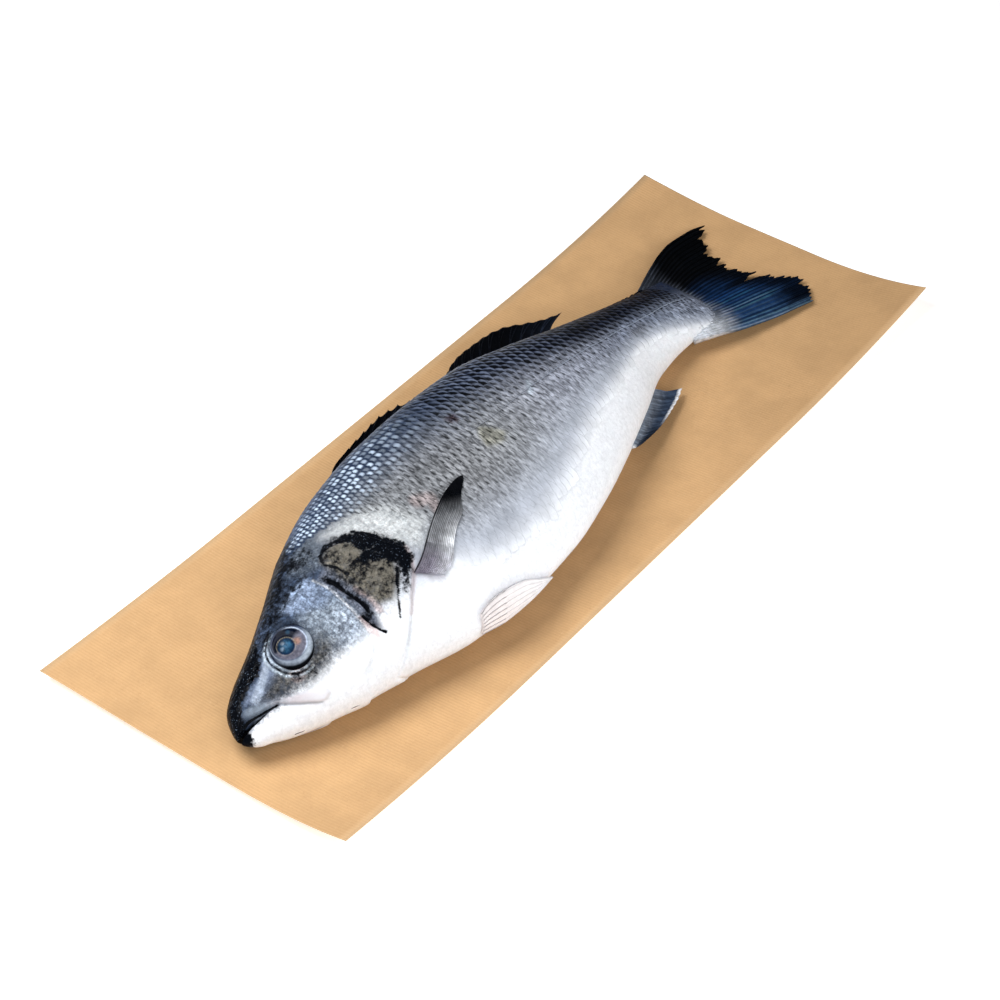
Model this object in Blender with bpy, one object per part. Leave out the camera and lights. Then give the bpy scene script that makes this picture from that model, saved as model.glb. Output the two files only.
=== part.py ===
"""A raw sea bass lying on its right side on a sheet of ribbed brown paper.

Frame: metres, +Z up.  The origin is on the surface that the paper lies on, under the middle of the sheet.
X runs along the sheet from the fish's snout (-X) to its tail (+X), Y from its belly (-Y) to its back (+Y).
"""

import math

import bmesh
import bpy
import numpy as np
from mathutils import Matrix, Vector

MM = 0.001

# The sheet of paper: its cut size, and how far its corners and the middles of its edges curl up.
PAPER_LENGTH = 400 * MM
PAPER_WIDTH = 150 * MM
PAPER_THICKNESS = 0.3 * MM
CURL_STARTS_ALONG = 0.45
CURL_STARTS_ACROSS = 0.25
CORNER_LIFT = {"head_back": 4.3 * MM, "head_belly": 10.6 * MM, "tail_belly": 11.2 * MM, "tail_back": 7.7 * MM}
EDGE_LIFT = {"head": 4.0 * MM, "tail": 3.5 * MM, "back": 0.3 * MM, "belly": 4.0 * MM}
PAPER_COLUMNS = 30
PAPER_ROWS = 14

# The body: one row for each station, counted from the snout, in millimetres.
# station, y of back, y of belly, half thickness, height of the mid plane, lean of the back over the belly
SNOUT_X = -188.5 * MM
STATIONS = MM * np.array(
    [
        (0, -10.0, -21.5, 3.6, 13.2, 0.3),
        (8, -2.7, -23.8, 6.8, 13.6, 0.6),
        (16, 1.2, -28.5, 9.8, 14.6, 1.2),
        (28, 5.0, -33.8, 13.2, 16.8, 2.4),
        (44, 11.8, -39.0, 16.2, 19.2, 3.8),
        (67, 23.0, -44.0, 19.6, 21.0, 5.0),
        (97, 32.3, -52.2, 22.8, 22.6, 6.0),
        (127, 36.0, -54.8, 25.4, 24.0, 6.0),
        (157, 37.0, -53.0, 26.0, 24.3, 5.5),
        (187, 37.2, -46.4, 24.6, 23.0, 5.0),
        (217, 33.4, -36.8, 21.4, 20.2, 4.0),
        (247, 28.6, -25.2, 17.0, 16.4, 3.0),
        (272, 26.3, -15.6, 12.4, 13.2, 2.0),
        (292, 24.3, -13.0, 8.6, 11.2, 1.5),
        (308, 23.4, -12.8, 5.0, 9.6, 1.0),
        (324, 22.0, -15.0, 1.0, 8.2, 1.0),
    ]
)
NOSE_ROUNDING = 7 * MM
SECTION_POWER = 2 / 2.25
THICKEST_TOWARDS_BACK = 0.14
EDGE_THINNING = 0.06
UNDERSIDE_HEIGHT = 0.6 * MM
SAG_DEPTH = 4 * MM
HEAD_RINGS = 36
HEAD_END = 100 * MM
FIRST_RING = 0.03
CLOSER_TO_SNOUT = 1.15
TRUNK_RINGS = 24
RING_POINTS = 34

# Lines on the head, as (station in mm, degrees round the section from the ridge of the back, over the flank).
GILL_COVER_EDGE = [(75, 72), (81, 74), (87.5, 83), (92, 93), (94, 100), (92, 106), (88, 113), (82, 121)]
GILL_COVER_EDGE += [(76, 132), (69, 148), (63, 164), (59, 178)]
CHEEK_GROOVE = [(61.5, 74), (63.5, 87), (64.3, 103), (63.6, 121), (64.6, 135)]
CHEEK_EDGE = [(58.5, 72), (59.7, 97), (59.1, 114), (57.5, 130), (54.0, 140), (47.0, 148)]
LIP_LINE = [(12.0, 111), (16.2, 114), (22.0, 132), (28.4, 148)]
NOSTRILS = [(22.0, 65), (18.1, 67)]
NOSTRIL_RADIUS = 0.9 * MM
EYE_PLACE = (35.2, 84.5)

# How far the plates of the head stand out from the section drawn above.
GILL_COVER_RISE = 1.3 * MM
CHEEK_RISE = 0.6 * MM
EYE_RIM_RISE = 0.7 * MM
EYE_RIM_SPAN = 0.4  # millimetres to a degree of the section at the eye
JAW_RISE = 0.5 * MM

# Width and depth of the grooves between the plates.
GILL_SLOT = (1.0 * MM, 3.0 * MM)
CHEEK_SLOT = (1.0 * MM, 1.4 * MM)
LIP_SLOT = (0.8 * MM, 1.0 * MM)

# The eyes: lens-shaped balls, half sunk in their sockets.
EYE_RADIUS = 10.2 * MM
EYE_HALF_DEPTH = 5.0 * MM
LEFT_EYE_SUNK = 4.1 * MM
RIGHT_EYE_SUNK = 4.9 * MM
SOCKET_GAP = 0.3 * MM

# The open mouth: a wedge that is seen from above, cut through the whole head.
MOUTH_CORNER = (-173.0, -20.0)
MOUTH_FRONT_TOP = (-193.0, -12.2)
MOUTH_FRONT_BOTTOM = (-193.0, -15.6)
MOUTH_TOP = 60 * MM

FIN_ROWS = 4
FIN_ROOT_HALF = 0.9 * MM
FIN_RIM_HALF = 0.4 * MM

# Each free fin: the line of its root inside the body, then its rim, as (x, y, z) in millimetres.
SPINY_DORSAL_ROOT = [(-72, 33, 29), (-40, 34, 30), (-8, 34, 27)]
SPINY_DORSAL_RIM = [(-69, 38.5, 29), (-62, 42.2, 29), (-41, 45.6, 30), (-29, 46.8, 30), (-20, 46.3, 29)]
SPINY_DORSAL_RIM += [(-11, 43.6, 28)]
SOFT_DORSAL_ROOT = [(6, 33, 26), (16, 32.5, 25), (26, 31.5, 24), (41, 29.5, 21.5), (51, 28, 20)]
SOFT_DORSAL_ROOT += [(60, 27, 18.6), (67, 32.5, 18.6), (76, 36.2, 17.6)]
SOFT_DORSAL_RIM = [(9, 39, 28), (18.2, 47.7, 27), (25.1, 48.3, 26), (43, 48.8, 24), (53.4, 47.2, 23)]
SOFT_DORSAL_RIM += [(63.3, 43.2, 21), (72.9, 39.6, 19), (83.1, 37.8, 17)]
ANAL_ROOT = [(31, -31.5, 15), (40, -28.5, 14.2), (54, -22.5, 13), (66, -17, 12), (73.5, -19.2, 8.5)]
ANAL_ROOT += [(78.6, -21.4, 5.4)]
ANAL_RIM = [(32, -36.4, 14), (40, -36.0, 11.5), (57.1, -32.8, 7), (70.3, -29.3, 5), (79, -26.8, 4.4)]
ANAL_RIM += [(85.3, -24.2, 4)]
TAIL_ROOT = [(117, 20, 9.4), (119, 4, 9.0), (113, -10, 9.0)]
TAIL_RIM = [(123, 24.6, 10.5), (134, 28.6, 9), (143.6, 31.8, 8), (154, 34.8, 7), (163.9, 36.5, 6)]
TAIL_RIM += [(178, 35.4, 5.4), (187.4, 32.0, 5.2), (180.2, 26.7, 5), (173, 24.2, 5), (178.1, 24.4, 5)]
TAIL_RIM += [(173.2, 18.8, 5), (163.2, 10.6, 5), (168.2, 9.2, 5), (168.6, 0, 5), (174.8, -8.4, 5)]
TAIL_RIM += [(163.6, -7.9, 5), (175.8, -13, 5), (178.2, -21, 5), (183.8, -26.2, 5), (178.3, -24.2, 5)]
TAIL_RIM += [(169.4, -36.4, 5), (160, -33.4, 5.2)]
TAIL_RIM += [(150.9, -30.6, 5.5), (141, -26.9, 6), (131.2, -23.4, 7), (122.6, -19.6, 8), (113.5, -16.0, 9)]

# Fins folded flat on the skin: front edge and rear edge from root to tip, as (station in mm, degrees).
PECTORAL_FRONT = [(88, 113), (93.7, 110), (105.7, 102.5), (114.5, 98.5), (122.9, 96), (130.4, 95.4)]
PECTORAL_FRONT += [(132.6, 96.6)]
PECTORAL_REAR = [(96, 124), (100.5, 123), (109.2, 114.5), (114.4, 110.5), (120.4, 107.6), (125.4, 102)]
PECTORAL_REAR += [(132.6, 97.2)]
PELVIC_FRONT = [(98, 163), (101.6, 160), (107.4, 158.5), (113.3, 160), (121, 164), (129, 174), (137, 184)]
PELVIC_REAR = [(97, 184), (102, 186), (109, 188), (116, 189), (123, 189), (130, 188), (137, 186)]
LEAF_LIFT = 1.0 * MM
LEAF_HALF = 0.6 * MM
LEAF_CROWN = 0.35

COLOURS = {
    "sea_bass": ((0.36, 0.40, 0.46, 1), 0.34, 0.15),
    "eye_left": ((0.05, 0.09, 0.14, 1), 0.12, 0.0),
    "eye_right": ((0.05, 0.09, 0.14, 1), 0.12, 0.0),
    "paper_sheet": ((0.62, 0.39, 0.19, 1), 0.85, 0.0),
}


def clear_scene():
    for thing in list(bpy.data.objects):
        bpy.data.objects.remove(thing, do_unlink=True)


def new_collection(name):
    made = bpy.data.collections.new(name)
    bpy.context.scene.collection.children.link(made)
    return made


def new_object(name, mesh, collection):
    thing = bpy.data.objects.new(name, mesh)
    collection.objects.link(thing)
    return thing


def give_material(thing):
    """A Principled material in the piece's own colour."""
    colour, roughness, metallic = COLOURS[thing.name]
    material = bpy.data.materials.new(thing.name)
    material.use_nodes = True
    shader = material.node_tree.nodes["Principled BSDF"]
    shader.inputs["Base Color"].default_value = colour
    shader.inputs["Roughness"].default_value = roughness
    shader.inputs["Metallic"].default_value = metallic
    thing.data.materials.clear()
    thing.data.materials.append(material)


def smooth_through(places, values, at):
    """A curve through the values that never swings past them: the cubic of Fritsch and Carlson."""
    step = np.diff(places)
    slope = np.diff(values) / step
    tangent = np.concatenate([slope[:1], np.zeros(len(slope) - 1), slope[-1:]])
    same_way = slope[:-1] * slope[1:] > 0
    before = (step[:-1] + 2 * step[1:])[same_way]
    after = (2 * step[:-1] + step[1:])[same_way]
    mean = (before + after) / (before / slope[1:][same_way] + after / slope[:-1][same_way])
    tangent[1:-1][same_way] = mean
    span = np.clip(np.searchsorted(places, at, side="right") - 1, 0, len(step) - 1)
    t = (at - places[span]) / step[span]
    start = (1 + 2 * t) * (1 - t) ** 2 * values[span] + t * (1 - t) ** 2 * step[span] * tangent[span]
    end = t * t * (3 - 2 * t) * values[span + 1] - t * t * (1 - t) * step[span] * tangent[span + 1]
    return start + end


def body_surface(station, angle):
    """Points of the skin, for arrays of station (m) and angle (radians, 0 on the back, pi on the belly)."""
    station, angle = np.broadcast_arrays(np.asarray(station, float), np.asarray(angle, float))
    back, belly, half, middle, lean = (
        smooth_through(STATIONS[:, 0], STATIONS[:, column], station) for column in range(1, 6)
    )
    rounded = np.sqrt(np.maximum(1 - (1 - np.clip(station / NOSE_ROUNDING, 0, 1)) ** 2, 0))
    across = np.sign(np.cos(angle)) * np.abs(np.cos(angle)) ** SECTION_POWER
    out = np.sign(np.sin(angle)) * np.abs(np.sin(angle)) ** SECTION_POWER
    swell = 1 + THICKEST_TOWARDS_BACK * across - EDGE_THINNING * across**2
    y = (back + belly) / 2 + rounded * (back - belly) / 2 * across
    z = middle + rounded * (lean * across + half * out * swell)
    return np.stack([SNOUT_X + station, y, z], axis=-1)


def lay_down(points):
    """The soft flesh spreads where it rests: nothing comes lower than the top of the paper."""
    z = points[..., 2]
    floor = UNDERSIDE_HEIGHT + SAG_DEPTH
    pressed = UNDERSIDE_HEIGHT + SAG_DEPTH * np.exp(np.minimum((z - floor) / SAG_DEPTH, 0))
    points[..., 2] = np.where(z < floor, pressed, z)
    return points


def body_normal(station, angle):
    """The outward direction of the skin at the same arrays of places."""
    small = 0.2 * MM
    turn = 0.01
    along = body_surface(station + small, angle) - body_surface(station - small, angle)
    around = body_surface(station, angle + turn) - body_surface(station, angle - turn)
    normal = np.cross(around, along)
    return normal / np.linalg.norm(normal, axis=-1, keepdims=True)


def resample(points, count):
    """The same broken line with evenly counted points, its own points kept where the counts match."""
    points = np.array(points, float)
    if len(points) == count:
        return points
    length = np.concatenate([[0], np.cumsum(np.linalg.norm(np.diff(points, axis=0), axis=1))])
    at = np.linspace(0, length[-1], count)
    return np.stack([np.interp(at, length, column) for column in points.T], axis=-1)


def on_skin(path, side=1):
    """Station and angle arrays of a path in millimetres and degrees; side -1 mirrors it to the right flank."""
    path = np.array(path, float)
    return path[:, 0] * MM, side * np.radians(path[:, 1])


def bump(value, width):
    return np.exp(-((value / width) ** 2))


def relief(station, angle):
    """How far the skin stands out, in metres: the gill cover, the cheek's plate, the rim of the eye and the jaw."""
    flank = np.abs((np.degrees(angle) + 180) % 360 - 180)
    edge = np.array(GILL_COVER_EDGE[4:])
    lower = np.interp(flank, edge[:, 1], edge[:, 0])
    upper = np.interp(flank, (60, 72, 83, 100), (60, 75, 87.5, 94))
    cover_end = np.where(flank < edge[0, 1], upper, lower) * MM
    past_edge = (station - cover_end) / MM
    on_cover = np.clip(-past_edge / 1.5, 0, 1) * np.clip((station / MM - 52) / 24, 0, 1)
    on_cover = on_cover * np.clip((flank - 62) / 12, 0, 1)
    cheek_end = np.interp(flank, [place[1] for place in CHEEK_EDGE], [place[0] for place in CHEEK_EDGE])
    on_cheek = bump(station / MM - cheek_end + 3, 4) * np.clip((flank - 66) / 14, 0, 1)
    from_eye = np.hypot(station / MM - EYE_PLACE[0], (flank - EYE_PLACE[1]) * EYE_RIM_SPAN)
    eye_rim = bump(from_eye - 10.4, 1.9)
    jaw = bump((flank - 118) / 16, 1) * bump(station / MM - 20, 9)
    plates = GILL_COVER_RISE * on_cover + CHEEK_RISE * on_cheek
    return plates + EYE_RIM_RISE * eye_rim + JAW_RISE * jaw


def lofted(name, rings, collection):
    """A closed mesh over rings of points, its two ends filled."""
    built = bmesh.new()
    rows = [[built.verts.new(point) for point in ring] for ring in rings]
    count = len(rows[0])
    for row, following in zip(rows, rows[1:]):
        for i in range(count):
            j = (i + 1) % count
            built.faces.new((row[i], row[j], following[j], following[i]))
    for row in (rows[0], rows[-1]):
        middle = built.verts.new(sum((corner.co for corner in row), Vector()) / count)
        for i in range(count):
            built.faces.new((row[i], row[(i + 1) % count], middle))
    bmesh.ops.recalc_face_normals(built, faces=built.faces)
    bmesh.ops.triangulate(built, faces=built.faces)
    mesh = bpy.data.meshes.new(name)
    built.to_mesh(mesh)
    built.free()
    return new_object(name, mesh, collection)


def add_body(collection):
    head = HEAD_END * np.linspace(FIRST_RING, 1, HEAD_RINGS) ** CLOSER_TO_SNOUT
    trunk = np.linspace(HEAD_END, STATIONS[-1, 0], TRUNK_RINGS + 1)[1:]
    station = np.concatenate([head, trunk])[:, None]
    angle = np.linspace(0, 2 * math.pi, RING_POINTS, endpoint=False)[None, :]
    points = body_surface(station, angle)
    raised = points + body_normal(station + 0.3 * MM, angle) * relief(station, angle)[..., None]
    return lofted("sea_bass", lay_down(raised), collection)


def add_fin(name, root, rim, collection):
    """A thin blade between a root line inside the body and its rim, tapering towards the rim."""
    rim = np.array(rim, float) * MM
    root = resample(np.array(root, float) * MM, len(rim))
    share = np.linspace(0, 1, FIN_ROWS)[:, None, None]
    middle = root + (rim - root) * share
    half = FIN_ROOT_HALF + (FIN_RIM_HALF - FIN_ROOT_HALF) * share
    upper = middle + half * np.array([0, 0, 1])
    lower = middle - half * np.array([0, 0, 1])
    return blade(name, upper, lower, collection)


def add_folded_fin(name, front, rear, side, collection):
    """A fin pressed on the skin: a leaf between its front edge and its rear edge, half sunk in the surface."""
    columns = len(front)
    front_station, front_angle = on_skin(front, side)
    rear_station, rear_angle = on_skin(rear, side)
    share = np.linspace(0, 1, FIN_ROWS)[:, None]
    station = front_station + (rear_station - front_station) * share
    angle = front_angle + (rear_angle - front_angle) * share
    normal = body_normal(station, angle)
    crown = 1 + LEAF_CROWN * np.sin(math.pi * share) * np.ones(columns)
    skin = body_surface(station, angle) + normal * (relief(station, angle) + LEAF_LIFT * crown)[..., None]
    upper = skin + normal * LEAF_HALF
    lower = skin - normal * 3 * LEAF_HALF
    return blade(name, lay_down(upper), lay_down(lower), collection)


def blade(name, upper, lower, collection):
    """A closed plate from two grids of points, one over the other."""
    rows, columns = upper.shape[:2]
    rings = []
    for j in range(columns):
        rings.append(np.concatenate([upper[:, j], lower[::-1, j]]))
    built = bmesh.new()
    corners = [[built.verts.new(point) for point in ring] for ring in rings]
    for one, other in zip(corners, corners[1:]):
        for i in range(2 * rows):
            k = (i + 1) % (2 * rows)
            built.faces.new((one[i], one[k], other[k], other[i]))
    for end in (corners[0], corners[-1]):
        for i in range(rows - 1):
            built.faces.new((end[i], end[i + 1], end[2 * rows - 2 - i], end[2 * rows - 1 - i]))
    bmesh.ops.recalc_face_normals(built, faces=built.faces)
    bmesh.ops.triangulate(built, faces=built.faces)
    mesh = bpy.data.meshes.new(name)
    built.to_mesh(mesh)
    built.free()
    return new_object(name, mesh, collection)


def slot_cutter(name, path, side, slot, collection):
    """A narrow slot of the given width and depth along a line of the skin, half as wide at its foot."""
    width, depth = slot
    path = resample(path, 2 * len(path) - 1)
    station, angle = on_skin(path, side)
    skin = body_surface(station, angle)
    normal = body_normal(station, angle)
    along = np.gradient(skin, axis=0)
    across = np.cross(normal, along)
    across *= side / np.linalg.norm(across, axis=-1, keepdims=True)
    high = skin + normal * 3 * MM
    low = skin - normal * (depth - relief(station, angle))[..., None]
    half = across * width / 2
    rings = np.stack([high - half, high + half, low + half / 2, low - half / 2], axis=1)
    return lofted(name, rings, collection)


def wedge_cutter(name, collection):
    """The open mouth, from the front of the jaws back to the corner where they meet."""
    corners = [MOUTH_CORNER, MOUTH_FRONT_TOP, MOUTH_FRONT_BOTTOM]
    rings = [[(x * MM, y * MM, z) for x, y in corners] for z in (-5 * MM, MOUTH_TOP)]
    return lofted(name, np.array(rings), collection)


def place_on_skin(place, side, sunk):
    """A matrix whose +Z is the skin's outward direction at the place, sunk below the surface."""
    station, angle = on_skin([place], side)
    normal = Vector(body_normal(station, angle)[0])
    point = Vector(body_surface(station, angle)[0]) - normal * sunk
    return Matrix.Translation(point) @ normal.to_track_quat("Z", "X").to_matrix().to_4x4()


def add_ball(name, place, side, sunk, grown, collection):
    """An eyeball, or with grown its socket: a sphere made flat along the skin's normal."""
    mesh = bpy.data.meshes.new(name)
    built = bmesh.new()
    bmesh.ops.create_uvsphere(built, u_segments=20, v_segments=10, radius=1)
    wide = EYE_RADIUS + grown
    size = Matrix.Diagonal((wide, wide, EYE_HALF_DEPTH + grown, 1))
    bmesh.ops.transform(built, matrix=place_on_skin(place, side, sunk) @ size, verts=built.verts)
    bmesh.ops.triangulate(built, faces=built.faces)
    built.to_mesh(mesh)
    built.free()
    return new_object(name, mesh, collection)


def nostril_cutter(name, place, side, collection):
    built = bmesh.new()
    bmesh.ops.create_cone(
        built, cap_ends=True, segments=10, radius1=NOSTRIL_RADIUS * 0.6, radius2=NOSTRIL_RADIUS, depth=5 * MM
    )
    bmesh.ops.transform(built, matrix=place_on_skin(place, side, -0.8 * MM), verts=built.verts)
    mesh = bpy.data.meshes.new(name)
    built.to_mesh(mesh)
    built.free()
    return new_object(name, mesh, collection)


def boolean(thing, operation, collection):
    """One exact Boolean with everything in a collection, applied, after which that collection's objects go."""
    modifier = thing.modifiers.new(operation.lower(), "BOOLEAN")
    modifier.operation = operation
    modifier.solver = "EXACT"
    modifier.operand_type = "COLLECTION"
    modifier.collection = collection
    graph = bpy.context.evaluated_depsgraph_get()
    mesh = bpy.data.meshes.new_from_object(thing.evaluated_get(graph))
    thing.modifiers.clear()
    thing.data = mesh
    for other in list(collection.objects):
        bpy.data.objects.remove(other, do_unlink=True)
    bpy.data.collections.remove(collection)


def add_fish(parts):
    fish = add_body(parts)
    fins = new_collection("fins")
    add_fin("spiny_dorsal", SPINY_DORSAL_ROOT, SPINY_DORSAL_RIM, fins)
    add_fin("soft_dorsal", SOFT_DORSAL_ROOT, SOFT_DORSAL_RIM, fins)
    add_fin("anal_fin", ANAL_ROOT, ANAL_RIM, fins)
    add_fin("tail_fin", TAIL_ROOT, TAIL_RIM, fins)
    add_folded_fin("pectoral", PECTORAL_FRONT, PECTORAL_REAR, 1, fins)
    add_folded_fin("pelvic_left", PELVIC_FRONT, PELVIC_REAR, 1, fins)
    boolean(fish, "UNION", fins)

    cutters = new_collection("cutters")
    for side, name, sunk in ((1, "left", LEFT_EYE_SUNK), (-1, "right", RIGHT_EYE_SUNK)):
        add_ball(f"socket_{name}", EYE_PLACE, side, sunk, SOCKET_GAP, cutters)
        slot_cutter(f"gill_opening_{name}", GILL_COVER_EDGE, side, GILL_SLOT, cutters)
        slot_cutter(f"cheek_groove_{name}", CHEEK_GROOVE, side, CHEEK_SLOT, cutters)
        slot_cutter(f"lip_line_{name}", LIP_LINE, side, LIP_SLOT, cutters)
        for number, place in enumerate(NOSTRILS):
            nostril_cutter(f"nostril_{name}_{number}", place, side, cutters)
    wedge_cutter("mouth", cutters)
    for cutter in cutters.objects:
        cutter.hide_render = True
        cutter.display_type = "WIRE"
    boolean(fish, "DIFFERENCE", cutters)
    return fish


def paper_height(u, v):
    """How high the sheet's underside lies at (u, v), each from -1 to 1: flat in the middle, curled at its rim."""
    along = np.clip((abs(u) - CURL_STARTS_ALONG) / (1 - CURL_STARTS_ALONG), 0, 1) ** 2
    across = np.clip((abs(v) - CURL_STARTS_ACROSS) / (1 - CURL_STARTS_ACROSS), 0, 1) ** 2
    tail, back = (1 + u) / 2, (1 + v) / 2
    corner = (1 - tail) * back * CORNER_LIFT["head_back"] + (1 - tail) * (1 - back) * CORNER_LIFT["head_belly"]
    corner += tail * back * CORNER_LIFT["tail_back"] + tail * (1 - back) * CORNER_LIFT["tail_belly"]
    end = EDGE_LIFT["tail"] if u > 0 else EDGE_LIFT["head"]
    edge = EDGE_LIFT["back"] if v > 0 else EDGE_LIFT["belly"]
    return corner * along * across + end * along * (1 - across) + edge * across * (1 - along)


def rim_spacing(count):
    """Places from -1 to 1, closer together towards both ends, where the sheet curls."""
    even = np.linspace(-1, 1, count)
    return np.sin(even * math.pi / 2) * 0.5 + even * 0.5


def add_paper(collection):
    built = bmesh.new()
    layers = []
    for height in (PAPER_THICKNESS, 0):
        grid = []
        for u in rim_spacing(PAPER_COLUMNS + 1):
            row = []
            for v in rim_spacing(PAPER_ROWS + 1):
                place = (u * PAPER_LENGTH / 2, v * PAPER_WIDTH / 2, paper_height(u, v) + height)
                row.append(built.verts.new(place))
            grid.append(row)
        layers.append(grid)
    for grid in layers:
        for row, following in zip(grid, grid[1:]):
            for i in range(PAPER_ROWS):
                built.faces.new((row[i], row[i + 1], following[i + 1], following[i]))
    for rim in (
        [(i, 0) for i in range(PAPER_COLUMNS + 1)],
        [(i, PAPER_ROWS) for i in range(PAPER_COLUMNS + 1)],
        [(0, j) for j in range(PAPER_ROWS + 1)],
        [(PAPER_COLUMNS, j) for j in range(PAPER_ROWS + 1)],
    ):
        for (a, b), (c, d) in zip(rim, rim[1:]):
            built.faces.new((layers[0][a][b], layers[0][c][d], layers[1][c][d], layers[1][a][b]))
    bmesh.ops.recalc_face_normals(built, faces=built.faces)
    bmesh.ops.triangulate(built, faces=built.faces)
    mesh = bpy.data.meshes.new("paper_sheet")
    built.to_mesh(mesh)
    built.free()
    return new_object("paper_sheet", mesh, collection)


def main():
    clear_scene()
    parts = new_collection("sea_bass_on_paper")
    fish = add_fish(parts)
    left = add_ball("eye_left", EYE_PLACE, 1, LEFT_EYE_SUNK, 0, parts)
    right = add_ball("eye_right", EYE_PLACE, -1, RIGHT_EYE_SUNK, 0, parts)
    paper = add_paper(parts)
    for thing in (fish, left, right, paper):
        give_material(thing)
    for thing in (fish, left, right):
        thing.data.shade_smooth()
        thing.data.set_sharp_from_angle(angle=math.radians(40))


main()
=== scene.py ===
# %% [markdown]
# # A raw sea bass on ribbed brown paper
# The solid model of the fish, its two eyes and the sheet of paper is loaded first and never moved.  The rest
# dresses it: a fine skin, two thousand overlapping scales, rayed fins, wet eyes and ribbed paper.

# %% Load the solid model
import math
import bpy
import numpy as np
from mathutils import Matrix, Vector


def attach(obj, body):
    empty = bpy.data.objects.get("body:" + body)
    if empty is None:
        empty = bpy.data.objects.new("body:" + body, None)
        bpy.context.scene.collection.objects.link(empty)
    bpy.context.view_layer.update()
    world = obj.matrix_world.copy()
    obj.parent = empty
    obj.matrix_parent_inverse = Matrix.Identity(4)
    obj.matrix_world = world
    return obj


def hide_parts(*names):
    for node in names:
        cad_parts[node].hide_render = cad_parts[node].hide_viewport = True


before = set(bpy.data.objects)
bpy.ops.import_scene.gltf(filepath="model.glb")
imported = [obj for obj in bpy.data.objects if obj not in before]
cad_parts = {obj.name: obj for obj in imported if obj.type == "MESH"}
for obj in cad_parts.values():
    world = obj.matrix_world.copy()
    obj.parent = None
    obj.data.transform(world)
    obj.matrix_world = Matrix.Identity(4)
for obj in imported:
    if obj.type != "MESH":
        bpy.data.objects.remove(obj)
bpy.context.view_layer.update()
MM = 0.001

# %% [markdown]
# ## Camera
# A long lens looks down over the fish's head, with the tail going away to the upper right.  A 100 mm lens on
# a 36 mm sensor keeps the paper's long sides nearly parallel, as in a catalogue picture.

# %% Camera
CAMERA_PLACE = Vector((-0.68598, -0.50971, 0.75185))
CAMERA_AIM = Vector((0.59544, 0.44932, -0.66600))
camera = bpy.data.objects.new("camera", bpy.data.cameras.new("camera"))
bpy.context.scene.collection.objects.link(camera)
camera.data.lens = 100
camera.data.sensor_width = 36
camera.data.clip_start = 0.01
camera.data.clip_end = 50
camera.location = CAMERA_PLACE
camera.rotation_euler = CAMERA_AIM.to_track_quat("-Z", "Y").to_euler()
bpy.context.scene.camera = camera

# %% [markdown]
# ## Light
# The main soft box hangs low over the front half of the fish, so the light falls off towards the tail.  A
# wide one beside the camera lights the belly side, and a third one, low beyond the tail on the same side,
# keeps the belly white behind the head.  The sky is dim, because wet black skin would mirror a bright one.

# %% Light
SKY_COLOUR = (0.93, 0.96, 1.0, 1)
SKY_STRENGTH = 0.08


def add_light(name, place, target, size, watts):
    """A round soft box; places and size in metres."""
    lamp = bpy.data.lights.new(name, "AREA")
    lamp.shape = "DISK"
    lamp.size = size
    lamp.energy = watts
    thing = bpy.data.objects.new(name, lamp)
    bpy.context.scene.collection.objects.link(thing)
    thing.location = place
    thing.rotation_euler = (Vector(target) - Vector(place)).to_track_quat("-Z", "Y").to_euler()


add_light("soft_box", (-0.22, 0.20, 0.48), (-0.10, 0.0, 0.0), 0.4, 3.5)
add_light("beside_camera", (-0.44, -0.62, 0.58), (-0.06, 0.0, 0.0), 0.5, 3.8)
add_light("belly_fill", (0.45, -0.90, 0.32), (0.06, 0.0, 0.02), 0.6, 4.0)
sky = bpy.data.worlds.new("dim_sky")
sky.use_nodes = True
sky.node_tree.nodes["Background"].inputs["Color"].default_value = SKY_COLOUR
sky.node_tree.nodes["Background"].inputs["Strength"].default_value = SKY_STRENGTH
bpy.context.scene.world = sky
bpy.context.scene.view_settings.view_transform = "Standard"


# %% [markdown]
# ## Building nodes in a line
# Shader trees and geometry trees are both made of nodes, with values or links on their inputs.  One helper
# makes a node from its type, its inputs and its settings, and gives back what flows out of it.  Such a flow
# can be added and multiplied like a number, so that each tree below reads from top to bottom.

# %% Node helpers
class Flow:
    """What flows out of a node.  Arithmetic and methods add nodes and give back what flows out of them."""

    def __init__(self, socket):
        self.socket = socket
        self.tree = socket.id_data

    def maths(self, operation, second=0.0):
        return put(self.tree, "ShaderNodeMath", {0: self, 1: second}, operation=operation)

    def __add__(self, other):
        return self.maths("ADD", other)

    def __sub__(self, other):
        return self.maths("SUBTRACT", other)

    def __mul__(self, other):
        return self.maths("MULTIPLY", other)

    def ease(self, low, high, to_low=0.0, to_high=1.0):
        """The value moved smoothly from one range to another and held at its ends."""
        inputs = {"Value": self, "From Min": low, "From Max": high, "To Min": to_low, "To Max": to_high}
        return put(self.tree, "ShaderNodeMapRange", inputs, interpolation_type="SMOOTHSTEP")

    def fall(self, low, high):
        """1 below the range and 0 above it."""
        return self.ease(low, high, 1.0, 0.0)

    def blend(self, share, other, way="MIX"):
        """This colour with a share of another one, from 0 to 1."""
        inputs = {0: share, 6: self, 7: other}
        return put(self.tree, "ShaderNodeMix", inputs, 2, data_type="RGBA", blend_type=way)

    def noise(self, scale, detail=3.0, rough=0.55):
        """A cloudy number over this place."""
        inputs = {"Vector": self, "Scale": scale, "Detail": detail, "Roughness": rough}
        return put(self.tree, "ShaderNodeTexNoise", inputs)

    def stretched(self, *scale):
        return put(self.tree, "ShaderNodeMapping", {0: self, "Scale": scale})

    def part(self, number):
        """One of the three numbers of a direction or a place."""
        return put(self.tree, "ShaderNodeSeparateXYZ", {0: self}, number)

    def relief(self, strength, distance):
        """The shading of this height; distance is in metres."""
        return put(self.tree, "ShaderNodeBump", {"Height": self, "Strength": strength, "Distance": distance})


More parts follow.
